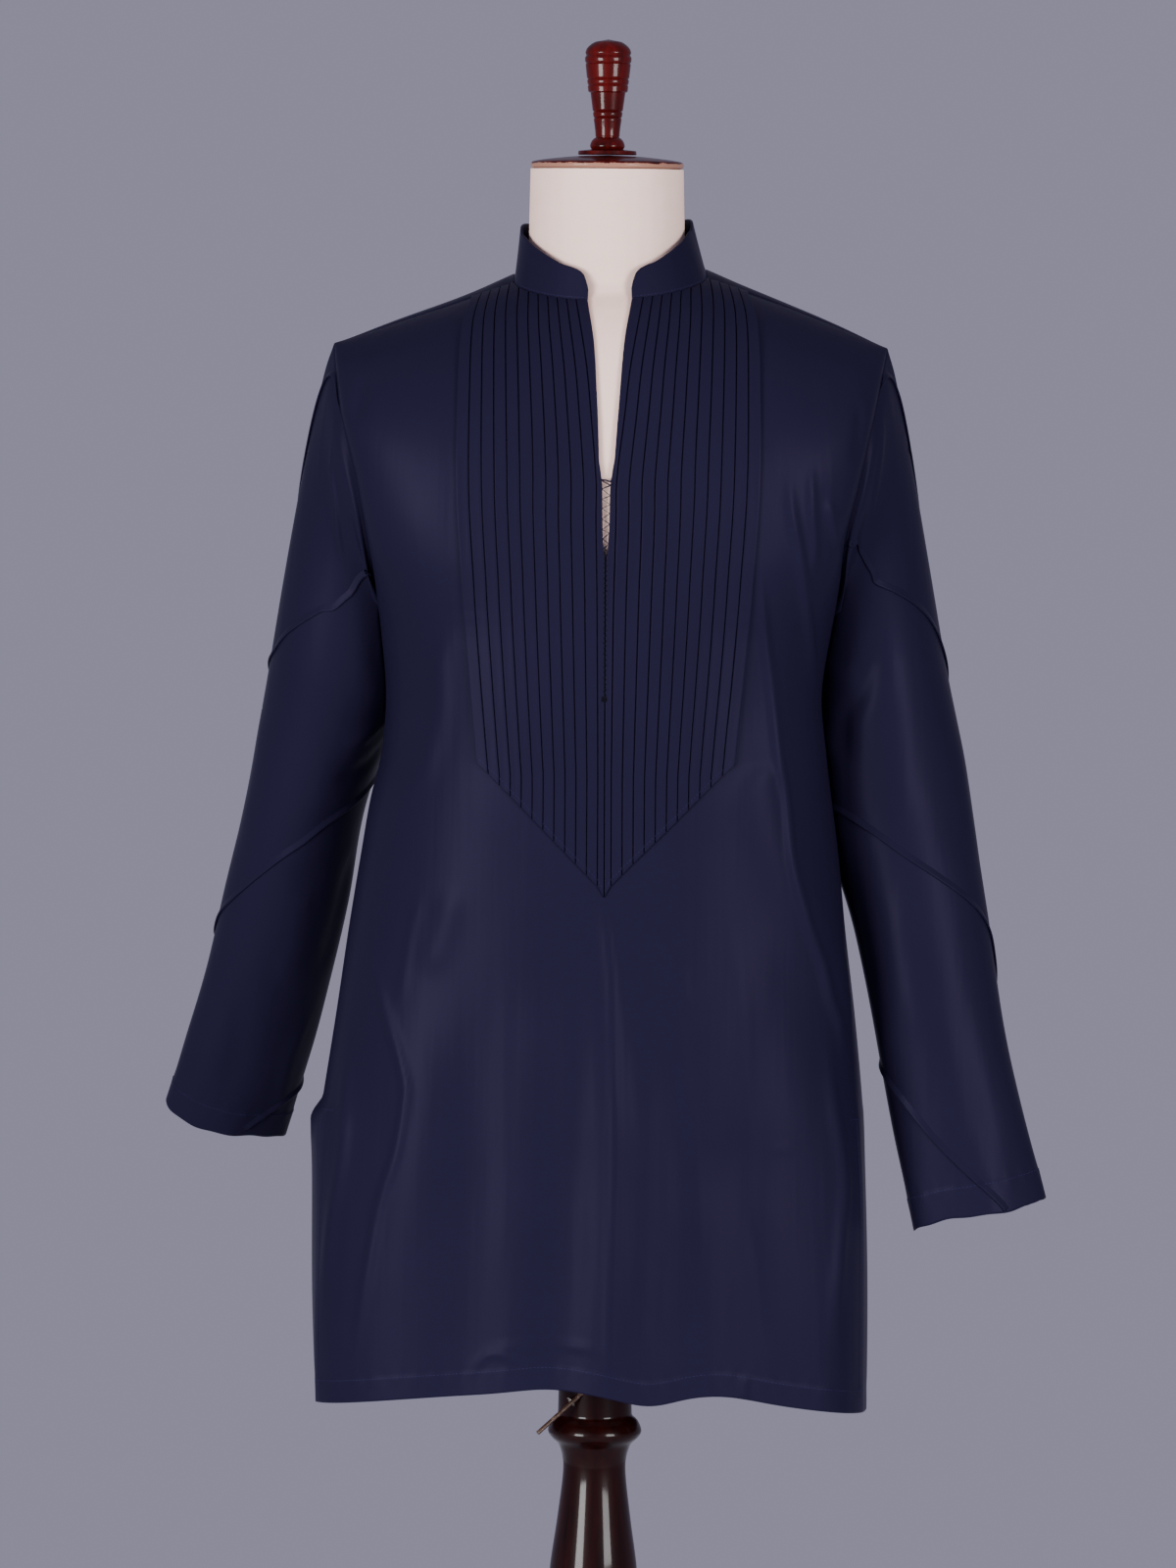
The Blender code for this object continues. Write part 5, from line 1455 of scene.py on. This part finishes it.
@dataclass
class Stitching:
    """All the sewing that shows on the kurta."""

    body: WornBody
    bib: Bib
    front: Panel
    back: Panel
    sleeves: tuple[Sleeve, ...]
    collar: Collar
    slit_inset: float = 0.0095    # from the slit's edge to its stitches, as seen from the front
    slit_foot_z: float = 0.5635   # height of the hem beside the slits
    tack_half: float = 0.18       # half width of the front where the neck slit is closed
    tack_rise: float = 0.26       # height of the yoke there
    tack_z: tuple[float, float, float] = (1.131, 1.246, 0.0019)   # closing stitches: from, up to, pitch
    tack_reach: tuple[float, ...] = (0.0010, 0.0013, 0.0009, 0.0017, 0.0011)     # half lengths, by turns
    tack_slant: float = 0.0006
    foot_tack: tuple[float, float, float] = (-0.0016, 1.1285, 0.0007)     # x, z and pitch of the tack at the foot
    foot_tack_reach: float = 0.0022
    foot_stitches: int = 6

    def hem(self, panel: Panel, inset: float = 0.0005) -> Array:
        """The stitch line that holds a panel's hem."""
        share = np.linspace(-0.985, 0.985, 420)
        low = self.body.hem_z(share, panel.side)
        level = (panel.hem_depth + inset) / (self.body.armpit_z - low)
        points = self.body.smooth_point(panel.side, share, level)
        lift = panel.doubled(points, share) + panel.cloth / 2 - 0.00006
        return self.body.point(panel.side, share, level, lift)

    def slit(self, panel: Panel, direction: int) -> Array:
        """The stitch line beside a side slit, with the bar tack across its top."""
        body = self.body
        top = (body.slit_top_z - self.slit_foot_z) / (body.armpit_z - self.slit_foot_z)
        level = np.concatenate([np.linspace(0.004, top, 170), np.full(12, top)])
        inset = np.concatenate([np.full(170, self.slit_inset), self.slit_inset + np.linspace(0.005, -0.005, 12)])
        x = body.smooth_point(panel.side, np.full_like(level, 0.9999 * direction), level)[:, 0]
        share = direction * (1.0 - inset / np.abs(x))
        points = body.smooth_point(panel.side, share, level)
        lift = panel.doubled(points, share) + panel.cloth / 2 + 0.0001
        return body.point(panel.side, share, level, lift)

    def cuff(self, sleeve: Sleeve) -> Array:
        """The stitch line that holds a cuff's hem."""
        turn = np.linspace(0, 1, 241)
        along = np.full_like(turn, CUFF - sleeve.hem_depth / sleeve.reach)
        return sleeve.point(turn, along, sleeve.cloth / 2 + 0.0001)

    def build(self, thread: bpy.types.Material, dark: bpy.types.Material) -> dict[str, bpy.types.Object]:
        """Sew everything.

        Args:
            thread: Finish of the stitches.
            dark: Finish of the tight black stitches below the lacing.

        Returns:
            The pieces, by what they are sewn on.
        """
        gang = StitchGang()
        made: dict[str, bpy.types.Object] = {}
        for direction, word in ((-1, "left"), (1, "right")):
            rows = [self.bib.seam(direction, k + 0.60, 0.0, 1.985) for k in range(self.body.tucks)]
            rows.append(self.bib.foot_seam(direction, 0.0040))
            made[f"bib_{word}"] = gang.run(f"bib_{word}_stitches", rows, thread)
        for panel in (self.front, self.back):
            word = panel.side.column
            made[word] = gang.run(f"{word}_hem_stitches", [
                self.hem(panel), self.slit(panel, -1), self.slit(panel, 1)], thread)
        for sleeve in self.sleeves:
            made[sleeve.name] = gang.run(f"{sleeve.name}_cuff_stitches", [self.cuff(sleeve)], thread)
        made["collar"] = gang.run("collar_seam_stitches", [
            self.collar.line(0.07, self.collar.cloth / 2 + 0.0001)[2:-2]], thread)
        made["tack"] = self.bar_tacks(dark)
        return made

    def bar_tacks(self, dark: bpy.types.Material) -> bpy.types.Object:
        """The closing stitches of the neck slit and the tack at its foot."""
        body = self.body
        z = np.arange(*self.tack_z)
        paths = []
        for k, (height, at) in enumerate(zip(z, body.skirt_level(np.zeros(1), z))):
            above = max(height - body.armpit_z, 0.0) / self.tack_rise
            at = min(at, 1.0) + above ** SPACING
            wide = self.tack_reach[k % len(self.tack_reach)]
            share = (np.linspace(-wide, wide, 5) + body.slit_lean.read("x", height)) / self.tack_half
            lift = self.bib.base + self.bib.cloth + 0.0004
            row = body.point(Side.FRONT, share, np.full(5, at), np.full(5, lift))
            row[:, 2] += np.linspace(-self.tack_slant, self.tack_slant, 5) * (1 if k % 2 else -1)
            paths.append(row)
        tack = paths[0]
        offset, foot_z, pitch = self.foot_tack
        for k in range(self.foot_stitches):
            shifted = tack.copy()
            shifted[:, 0] = body.centre_x + offset + np.linspace(-self.foot_tack_reach, self.foot_tack_reach, 5)
            shifted[:, 2] = foot_z + pitch * k
            paths.append(shifted)
        return Cord(0.0009, 5).run("neck_slit_closing_stitches", paths, dark)


@dataclass
class Lacing:
    """The thread that zigzags across the foot of the neck slit, with its two short ends at the top."""

    body: WornBody
    thickness: float = 0.0012
    right_z: tuple[float, ...] = (1.2962, 1.2882, 1.2814, 1.2746, 1.2662, 1.2593, 1.2510)
    left_z: tuple[float, ...] = (1.2935, 1.2856, 1.2783, 1.2704, 1.2620, 1.2548, 1.2470)
    top_z: tuple[float, float] = (1.3006, 1.2990)     # where the last crossing leaves the left and right edge
    end: tuple[float, float, float] = (0.0022, -0.0002, -0.0012)
    inset: float = 0.006          # of the holes from the slit's edge, as a share of the bib half
    lift: float = 0.0022

    def edge(self, direction: int, heights: Array) -> Array:
        """Points on the slit's edge at these heights."""
        levels = np.linspace(1.0, 1.5, 400)
        z = self.body.smooth_point(Side.FRONT, np.zeros_like(levels), levels)[:, 2]
        level = np.interp(heights, z, levels)
        place = self.body.bib_share(direction, np.full_like(level, self.inset), level)
        return self.body.point(Side.FRONT, place, level, np.full_like(level, self.lift))

    def build(self, thread: bpy.types.Material) -> bpy.types.Object:
        """Make the lacing.

        Args:
            thread: The finish.

        Returns:
            The finished piece.
        """
        right, left = self.edge(1, np.array(self.right_z)), self.edge(-1, np.array(self.left_z))
        zigzag = np.stack([right, left], axis=1).reshape(-1, 3)
        top = [self.edge(way, np.array([z]))[0] for way, z in zip((-1, 1), self.top_z)]
        across = np.stack([top[0] + (-0.0008, 0, 0.0002), (top[0] + top[1]) / 2 + (0, -0.0006, 0.0003), top[1],
                           top[1] + self.end])
        second = np.stack([top[0] + (0.0006, -0.0004, -0.0008), right[0] + (-0.0012, -0.0008, 0.0006), right[0],
                           right[0] + np.array(self.end) * (0.9, 1, -1)])
        return Cord(self.thickness).run("neck_slit_lacing", [zigzag, across, second], thread)


# ================================================================ form and stand

@dataclass
class DressForm:
    """The limbless canvas form: a closed torso and a round neck with a seam at its root."""

    body: WornBody
    form_ease: float = 0.0130
    shoulder_ease: float = 0.0015
    neck_ease: float = 0.0025
    core_z: float = 1.31
    top: float = 0.965
    side: float = 0.985
    neck_top_z: float = 1.5418
    neck_radius: float = 0.0605
    neck_y: float = 0.001
    seam_z: float = 1.4512
    seam_depth: float = 0.0007
    seam_width: float = 0.0016
    slit_ease: float = 0.78       # share of the ease that is taken up behind the neck slit
    rows: tuple[int, int, int] = (60, 45, 40)     # below the armpits, above them and up the neck
    columns: tuple[int, int] = (25, 30)           # in each half, to the neck and beyond it
    torso: Table = Table(("half", "front", "back"), (
        (.690, .150, -.088, .092), (.705, .160, -.096, .104), (.780, .170, -.100, .110),
        (.860, .170, -.100, .110), (.960, .160, -.098, .098), (1.060, .148, -.100, .084),
        (1.130, .155, -.110, .088), (1.195, .166, -.118, .098),
    ))

    def point(self, side: Side, share: Array, level: Array) -> Array:
        """Points of the form: its own plan below the armpits, eased in from the cloth above."""
        share, level = np.broadcast_arrays(share, level)
        cloth = self.body.smooth_point(side, share, np.maximum(level, 1.0))
        core = np.stack([cloth[..., 0] * 0.8, 0 * level, 0 * level + self.core_z], axis=-1)
        beside_neck = smooth((self.body.neck_width + 0.15 - np.abs(share)) / 0.15)
        ease = mix(self.form_ease, self.shoulder_ease + self.neck_ease * beside_neck, smooth((level - 1.0) / 0.8))
        if side is Side.FRONT:
            ease = ease * (1.0 - self.slit_ease * smooth(1.3 - np.abs(share) / 0.2) * smooth((level - 1.0) / 0.05))
        above = cloth + unit(core - cloth) * ease[..., None]
        z = mix(self.torso.rows[0][0], self.body.armpit_z, np.minimum(level, 1.0))
        half = self.torso.read("half", z)
        depth = self.torso.read(side.column, z)
        centre = self.body.centre_x * np.minimum(level, 1.0)
        x = centre + np.abs(share) * (np.where(share < 0, -1.0, 1.0) * half - centre)
        below = np.stack([x, mix(self.body.side_y, depth, self.body.depth_share(share)), z], axis=-1)
        return np.where((level <= 1.0)[..., None], below, above)

    def build(self, canvas: bpy.types.Material) -> bpy.types.Object:
        """Make the form.

        Args:
            canvas: The finish.

        Returns:
            The finished piece.
        """
        neck, rest = (np.sin(np.linspace(0, math.pi / 2, count)) for count in self.columns)
        neck, rest = self.body.neck_width * neck, mix(self.body.neck_width, self.side, rest[1:])
        shares = np.concatenate([-rest[::-1], -neck[:0:-1], neck, rest])
        low, high, neck_rows = self.rows
        levels = np.concatenate([np.linspace(0, 1, low, endpoint=False),
                                 1 + self.top * np.linspace(0, 1, high) ** SPACING])
        share, level = np.meshgrid(shares, levels)
        front, back = self.point(Side.FRONT, share, level), self.point(Side.BACK, share, level)
        count = share.size
        near = np.arange(count).reshape(share.shape)
        far = near + count
        ring = np.concatenate([near, far[:, ::-1]], axis=1)
        faces = grid_faces(ring, closed=True)
        faces += grid_faces(np.stack([far[0], near[0]]))
        inside = np.flatnonzero(np.abs(shares) <= self.body.neck_width + 1e-4)
        first, last = inside[0], inside[-1]
        faces += grid_faces(np.stack([near[-1, :first + 1], far[-1, :first + 1]]))
        faces += grid_faces(np.stack([near[-1, last:], far[-1, last:]]))
        points = [front.reshape(-1, 3), back.reshape(-1, 3)]
        root_index = np.concatenate([near[-1, first:last + 1], far[-1, first:last + 1][::-1]])
        roots = np.concatenate(points)[root_index]
        rings = [root_index]
        total = 2 * count
        angle = np.arctan2(roots[:, 1] - self.neck_y, roots[:, 0])
        goal = np.stack([self.neck_radius * np.cos(angle), self.neck_y + self.neck_radius * np.sin(angle),
                         np.full_like(angle, self.neck_top_z)], axis=-1)
        for t in np.linspace(0, 1, neck_rows)[1:]:
            inward = np.interp(t, (0, 0.08, 0.16, 0.35, 1.0), (0.0, 0.62, 0.80, 0.915, 1.0))
            row = roots + (goal - roots) * np.array([inward, inward, t])
            groove = self.seam_depth * np.exp(-((row[:, 2] - self.seam_z) / self.seam_width) ** 2)
            row[:, :2] -= np.stack([np.cos(angle), np.sin(angle)], axis=-1) * groove[:, None]
            points.append(row)
            rings.append(np.arange(total, total + len(row)))
            total += len(row)
        faces += grid_faces(np.stack(rings), closed=True)
        faces.append(tuple(rings[-1]))
        form = add_mesh("canvas_form", np.concatenate(points), faces, canvas, 50)
        return declare(form, Slot.CANVAS, "form_torso")


@dataclass
class Turned:
    """A lathe-turned piece: its profile runs from the axis by the outside back to the axis."""

    name: str
    node: str
    profile: Rows                 # radius and height
    sharp: float = 35.0
    steps: int = 96
    grooves: Rows = ()            # height, depth and half width of each cut ring
    step: float = 0.0020          # how close its rings are
    corner: float = 52.0          # degrees past which a bend of the profile stays a corner

    def rounded(self) -> Array:
        """The profile with smooth curves between its points and its grooves cut in."""
        p = np.array(self.profile)
        curve = [p[0]]
        for i in range(len(p) - 1):
            a, b = p[max(i - 1, 0)], p[min(i + 2, len(p) - 1)]
            start, end = p[i], p[i + 1]
            flat = start[0] < 1e-6 or end[0] < 1e-6
            into, out_of = (end - a) / 2, (b - start) / 2
            chord = end - start
            length = np.linalg.norm(chord)
            for tangent in (into, out_of):
                size = np.linalg.norm(tangent)
                if size > length:
                    tangent *= length / size
            if self.turns(a, start, end):
                into = chord
            if self.turns(start, end, b):
                out_of = chord
            count = int(np.clip(length / self.step, 2, 48))
            for t in np.linspace(0, 1, count + 1)[1:]:
                curve.append(start + chord * t if flat else hermite(t, start, end, into, out_of))
        curve = np.array(curve)
        for height, depth, width in self.grooves:
            cut = depth * np.exp(-((curve[:, 1] - height) / width) ** 2)
            curve[:, 0] = np.where(curve[:, 0] > 1e-6, np.maximum(curve[:, 0] - cut, 1e-4), curve[:, 0])
        return curve

    def turns(self, a: Array, b: Array, c: Array) -> bool:
        """Whether the profile has a corner at b."""
        one, two = b - a, c - b
        size = np.linalg.norm(one) * np.linalg.norm(two)
        return size < 1e-12 or float(one @ two) / size < math.cos(math.radians(self.corner))

    def build(self, wood: bpy.types.Material) -> bpy.types.Object:
        """Turn the piece.

        Args:
            wood: The finish.

        Returns:
            The finished piece.
        """
        curve = self.rounded()
        inner = curve[1:-1]
        angle = np.arange(self.steps) / self.steps * math.tau
        rings = np.stack([inner[:, None, 0] * np.cos(angle), inner[:, None, 0] * np.sin(angle),
                          inner[:, None, 1] + 0 * angle], axis=-1)
        index = np.arange(rings.shape[0] * self.steps).reshape(-1, self.steps)
        top, foot = index.size, index.size + 1
        points = np.concatenate([rings.reshape(-1, 3), [[0, 0, curve[0, 1]], [0, 0, curve[-1, 1]]]])
        faces = grid_faces(index, closed=True, flip=True)
        faces += [(top, index[0, i], index[0, (i + 1) % self.steps]) for i in range(self.steps)]
        faces += [(foot, index[-1, (i + 1) % self.steps], index[-1, i]) for i in range(self.steps)]
        return declare(add_mesh(self.name, points, faces, wood, self.sharp), Slot.WOOD, self.node)


@dataclass
class Stand:
    """The turned column, base, neck cap and finial, and the clamp rod with its ring."""

    cap: Rows = ((0.0, 1.5528), (.0240, 1.5520), (.0480, 1.5496), (.0590, 1.5476), (.0606, 1.5455),
                 (.0600, 1.5432), (.0575, 1.5421), (0.0, 1.5421))
    finial: Rows = ((0.0, 1.6440), (.0100, 1.6422), (.0168, 1.6370), (.0184, 1.6300), (.0177, 1.6225),
                    (.0156, 1.6030), (.0138, 1.6020), (.0117, 1.5860), (.0096, 1.5680), (.0125, 1.5640),
                    (.0138, 1.5600), (.0125, 1.5575), (.0228, 1.5562), (.0232, 1.5538), (.0225, 1.5531),
                    (0.0, 1.5531))
    column: Rows = ((0.0, .6895), (.0296, .6895), (.0296, .5485), (.0345, .5430), (.0375, .5350),
                    (.0350, .5300), (.0290, .5240), (.0252, .5110), (.0256, .4950), (.0298, .4610),
                    (.0350, .4230), (.0385, .3700), (.0380, .3200), (.0300, .2000), (.0240, .1200),
                    (.0340, .1050), (.0360, .0950), (.0240, .0850), (.0330, .0450), (.0500, .0283),
                    (0.0, .0283))
    base: Rows = ((0.0, .0280), (.0900, .0280), (.1500, .0240), (.1760, .0180), (.1800, .0120),
                  (.1800, .0030), (.1770, 0.0), (0.0, 0.0))
    pin_at: tuple[float, float, float] = (-0.0127, -0.0282, 0.5672)
    pin_to: tuple[float, float, float] = (-0.0455, -0.0420, 0.5390)
    pin_radius: float = 0.0017
    ring_at: tuple[float, float, float] = (-0.0190, -0.0262, 0.5622)
    ring_reach: tuple[float, float] = (0.0030, 0.0040)    # to the side and up
    ring_wire: float = 0.0013
    finial_grooves: Rows = ((1.6314, .0010, .0011), (1.6252, .0008, .0006), (1.6127, .0008, .0006),
                            (1.6080, .0007, .0006), (1.5871, .0008, .0006), (1.5822, .0007, .0006),
                            (1.5670, .0007, .0006))

    def build(self, wood: bpy.types.Material, dark: bpy.types.Material, cap_finish: bpy.types.Material,
              enamel: bpy.types.Material, nickel: bpy.types.Material) -> None:
        """Make the stand's pieces.

        Args:
            wood: Finish of the finial.
            dark: Finish of the column and base, stained deeper.
            cap_finish: The same, turning pale tan below a height on the rim of the neck cap.
            enamel: Finish of the clamp's rod.
            nickel: Finish of the ring round its root.
        """
        Turned("turned_column", "stand_column", self.column).build(dark)
        Turned("turned_base", "stand_base", self.base).build(dark)
        Turned("turned_neck_cap", "neck_cap", self.cap).build(cap_finish)
        Turned("turned_finial", "finial", self.finial, grooves=self.finial_grooves, step=0.0006).build(wood)
        start, end = np.array(self.pin_at), np.array(self.pin_to)
        way = unit(end - start)
        rod = np.stack([start - way * 0.005, start, mix(start, end, 0.5), end - way * 0.0006, end])
        piece = Cord(self.pin_radius * 2, 20).run("clamp_rod", [rod], enamel, Slot.PIN)
        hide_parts("clamp_pin")
        side = unit(np.cross(way, np.array([0, 0, 1.0])))
        up = np.cross(side, way)
        angle = np.linspace(0, math.tau, 33)
        wide, tall = self.ring_reach
        ring = self.ring_at + (side * np.cos(angle)[:, None] * wide + up * np.sin(angle)[:, None] * tall)
        Cord(self.ring_wire, 10).run("clamp_ring", [ring], nickel, Slot.PIN)


# ================================================================ studio

@dataclass
class Studio:
    """A pale floor, soft light and the camera."""

    backdrop: str = "#8E8BA1"
    ambient: float = 1.0
    lens_mm: float = 162.0
    sensor_mm: float = 36.0
    place: tuple[float, float, float] = (-0.0104, -5.6, 1.482)
    tilt: float = math.atan(11 / 144)     # how far the camera looks down
    roll: float = 0.0098
    floor_radius: float = 2.0
    floor_depth: float = 0.01

    def build(self, paper: bpy.types.Material) -> None:
        """Set up the studio.

        Args:
            paper: The floor's finish.
        """
        self.camera()
        world = bpy.data.worlds.new("studio_backdrop")
        bpy.context.scene.world = world
        world.use_nodes = True
        ground = world.node_tree.nodes["Background"]
        ground.inputs["Color"].default_value = linear(self.backdrop)
        ground.inputs["Strength"].default_value = self.ambient
        for name, at, aim, size, watts in (
                ("left_softbox", (-2.9, -3.5, 1.3), (0.0, 0.0, 1.1), 1.7, 240),
                ("right_softbox", (2.9, -3.5, 1.5), (0.0, 0.0, 1.1), 1.7, 182),
                ("near_softbox", (-1.2, -4.6, 0.6), (0.0, 0.0, 1.2), 1.0, 44),
                ("top_softbox", (0.2, 0.4, 3.6), (0.0, 0.0, 1.2), 1.2, 8),
                ("back_softbox", (-0.8, 3.8, 1.6), (0.0, 0.0, 1.1), 1.7, 210)):
            lamp = bpy.data.lights.new(name, "AREA")
            lamp.shape = "SQUARE"
            lamp.size = size
            lamp.energy = watts
            holder = link(name, lamp)
            holder.location = at
            holder.rotation_euler = (Vector(aim) - Vector(at)).to_track_quat("-Z", "Y").to_euler()
            holder.visible_glossy = name in ("left_softbox", "right_softbox")
        angle = np.arange(96) / 96 * math.tau
        rim = np.stack([self.floor_radius * np.cos(angle), self.floor_radius * np.sin(angle)], axis=-1)
        count = len(rim)
        points = np.concatenate([np.column_stack([rim, np.full(count, -0.0002)]),
                                 np.column_stack([rim, np.full(count, -self.floor_depth)])])
        index = np.stack([np.arange(count, 2 * count), np.arange(count)])
        faces = grid_faces(index, closed=True) + [tuple(range(count)), tuple(range(2 * count - 1, count - 1, -1))]
        floor = add_mesh("studio_floor", points, faces, paper, 30)

    def camera(self) -> None:
        """Place the camera."""
        right = np.array([1.0, 0.0, 0.0])
        ahead = np.array([0.0, math.cos(self.tilt), -math.sin(self.tilt)])
        up = np.array([0.0, math.sin(self.tilt), math.cos(self.tilt)])
        right, up = (right * math.cos(self.roll) + up * math.sin(self.roll),
                     up * math.cos(self.roll) - right * math.sin(self.roll))
        lens = bpy.data.cameras.new("studio_camera")
        lens.sensor_fit = "VERTICAL"
        lens.sensor_height = self.sensor_mm
        lens.lens = self.lens_mm
        lens.clip_end = 50.0
        holder = link("studio_camera", lens)
        columns = np.stack([right, up, -ahead], axis=1)
        holder.matrix_world = Matrix.Translation(self.place) @ Matrix(columns.tolist()).to_4x4()
        bpy.context.scene.camera = holder


# ================================================================ the whole object

def sheet_area(obj: bpy.types.Object) -> float:
    """Half the area of a closed shell of cloth, which is the cloth's own area."""
    return sum(face.area for face in obj.data.polygons) / 2


def main() -> None:
    """Build the classes in order and report each piece."""
    logging.basicConfig(level=logging.INFO, format="%(message)s")
    Studio().build(StudioPaper().build())
    crepe, thread = NavyCrepe().build(), SewingThread().build()
    dark = SewingThread("black_spun_thread", "#0B0A14").build()
    canvas, wood = FormCanvas().build(), LacqueredBeech().build()
    body = WornBody()
    DressForm(body).build(canvas)
    # The neck cap's finish: the stain turns pale tan below a height on its lower rim.
    rubbed = LacqueredBeech("two_tone_lacquered_beech", band_top_z=1.5462).build()
    deep = LacqueredBeech("black_lacquered_beech", "#220504", "#0C0202").build()
    Stand().build(wood, deep, rubbed, RodEnamel().build(), NickelPlate().build())
    front = Panel(body, Side.FRONT, "front_crepe", "front_panel", 92, (24, 150, 74))
    back = Panel(body, Side.BACK, "back_crepe", "back_panel", 62, (24, 130, 66))
    front_piece, back_piece = front.build(crepe), back.build(crepe)
    left = Sleeve(body, "sleeve_left", -1, LEFT_RINGS, LEFT_TUCKS, LEFT_SLEEVE_CREASES)
    right = Sleeve(body, "sleeve_right", 1, RIGHT_RINGS, RIGHT_TUCKS, RIGHT_SLEEVE_CREASES, head_puff=0.095)
    left_pieces, right_pieces = left.build(crepe), right.build(crepe)
    band = Collar(body)
    collar = band.build(crepe)
    bib = Bib(body)
    bibs = [bib.half(-1, "bib_left", crepe), bib.half(1, "bib_right", crepe)]
    sewn = Stitching(body, bib, front, back, (left, right), band).build(thread, dark)
    lacing = Lacing(body).build(SewingThread("navy_lacing_thread", "#16142B").build())
    for piece in (front_piece, back_piece, collar, left_pieces[0], right_pieces[0], *bibs):
        log.info("%s: %.4f m2 of cloth", piece.name, sheet_area(piece))


if __name__ == "__main__":
    main()
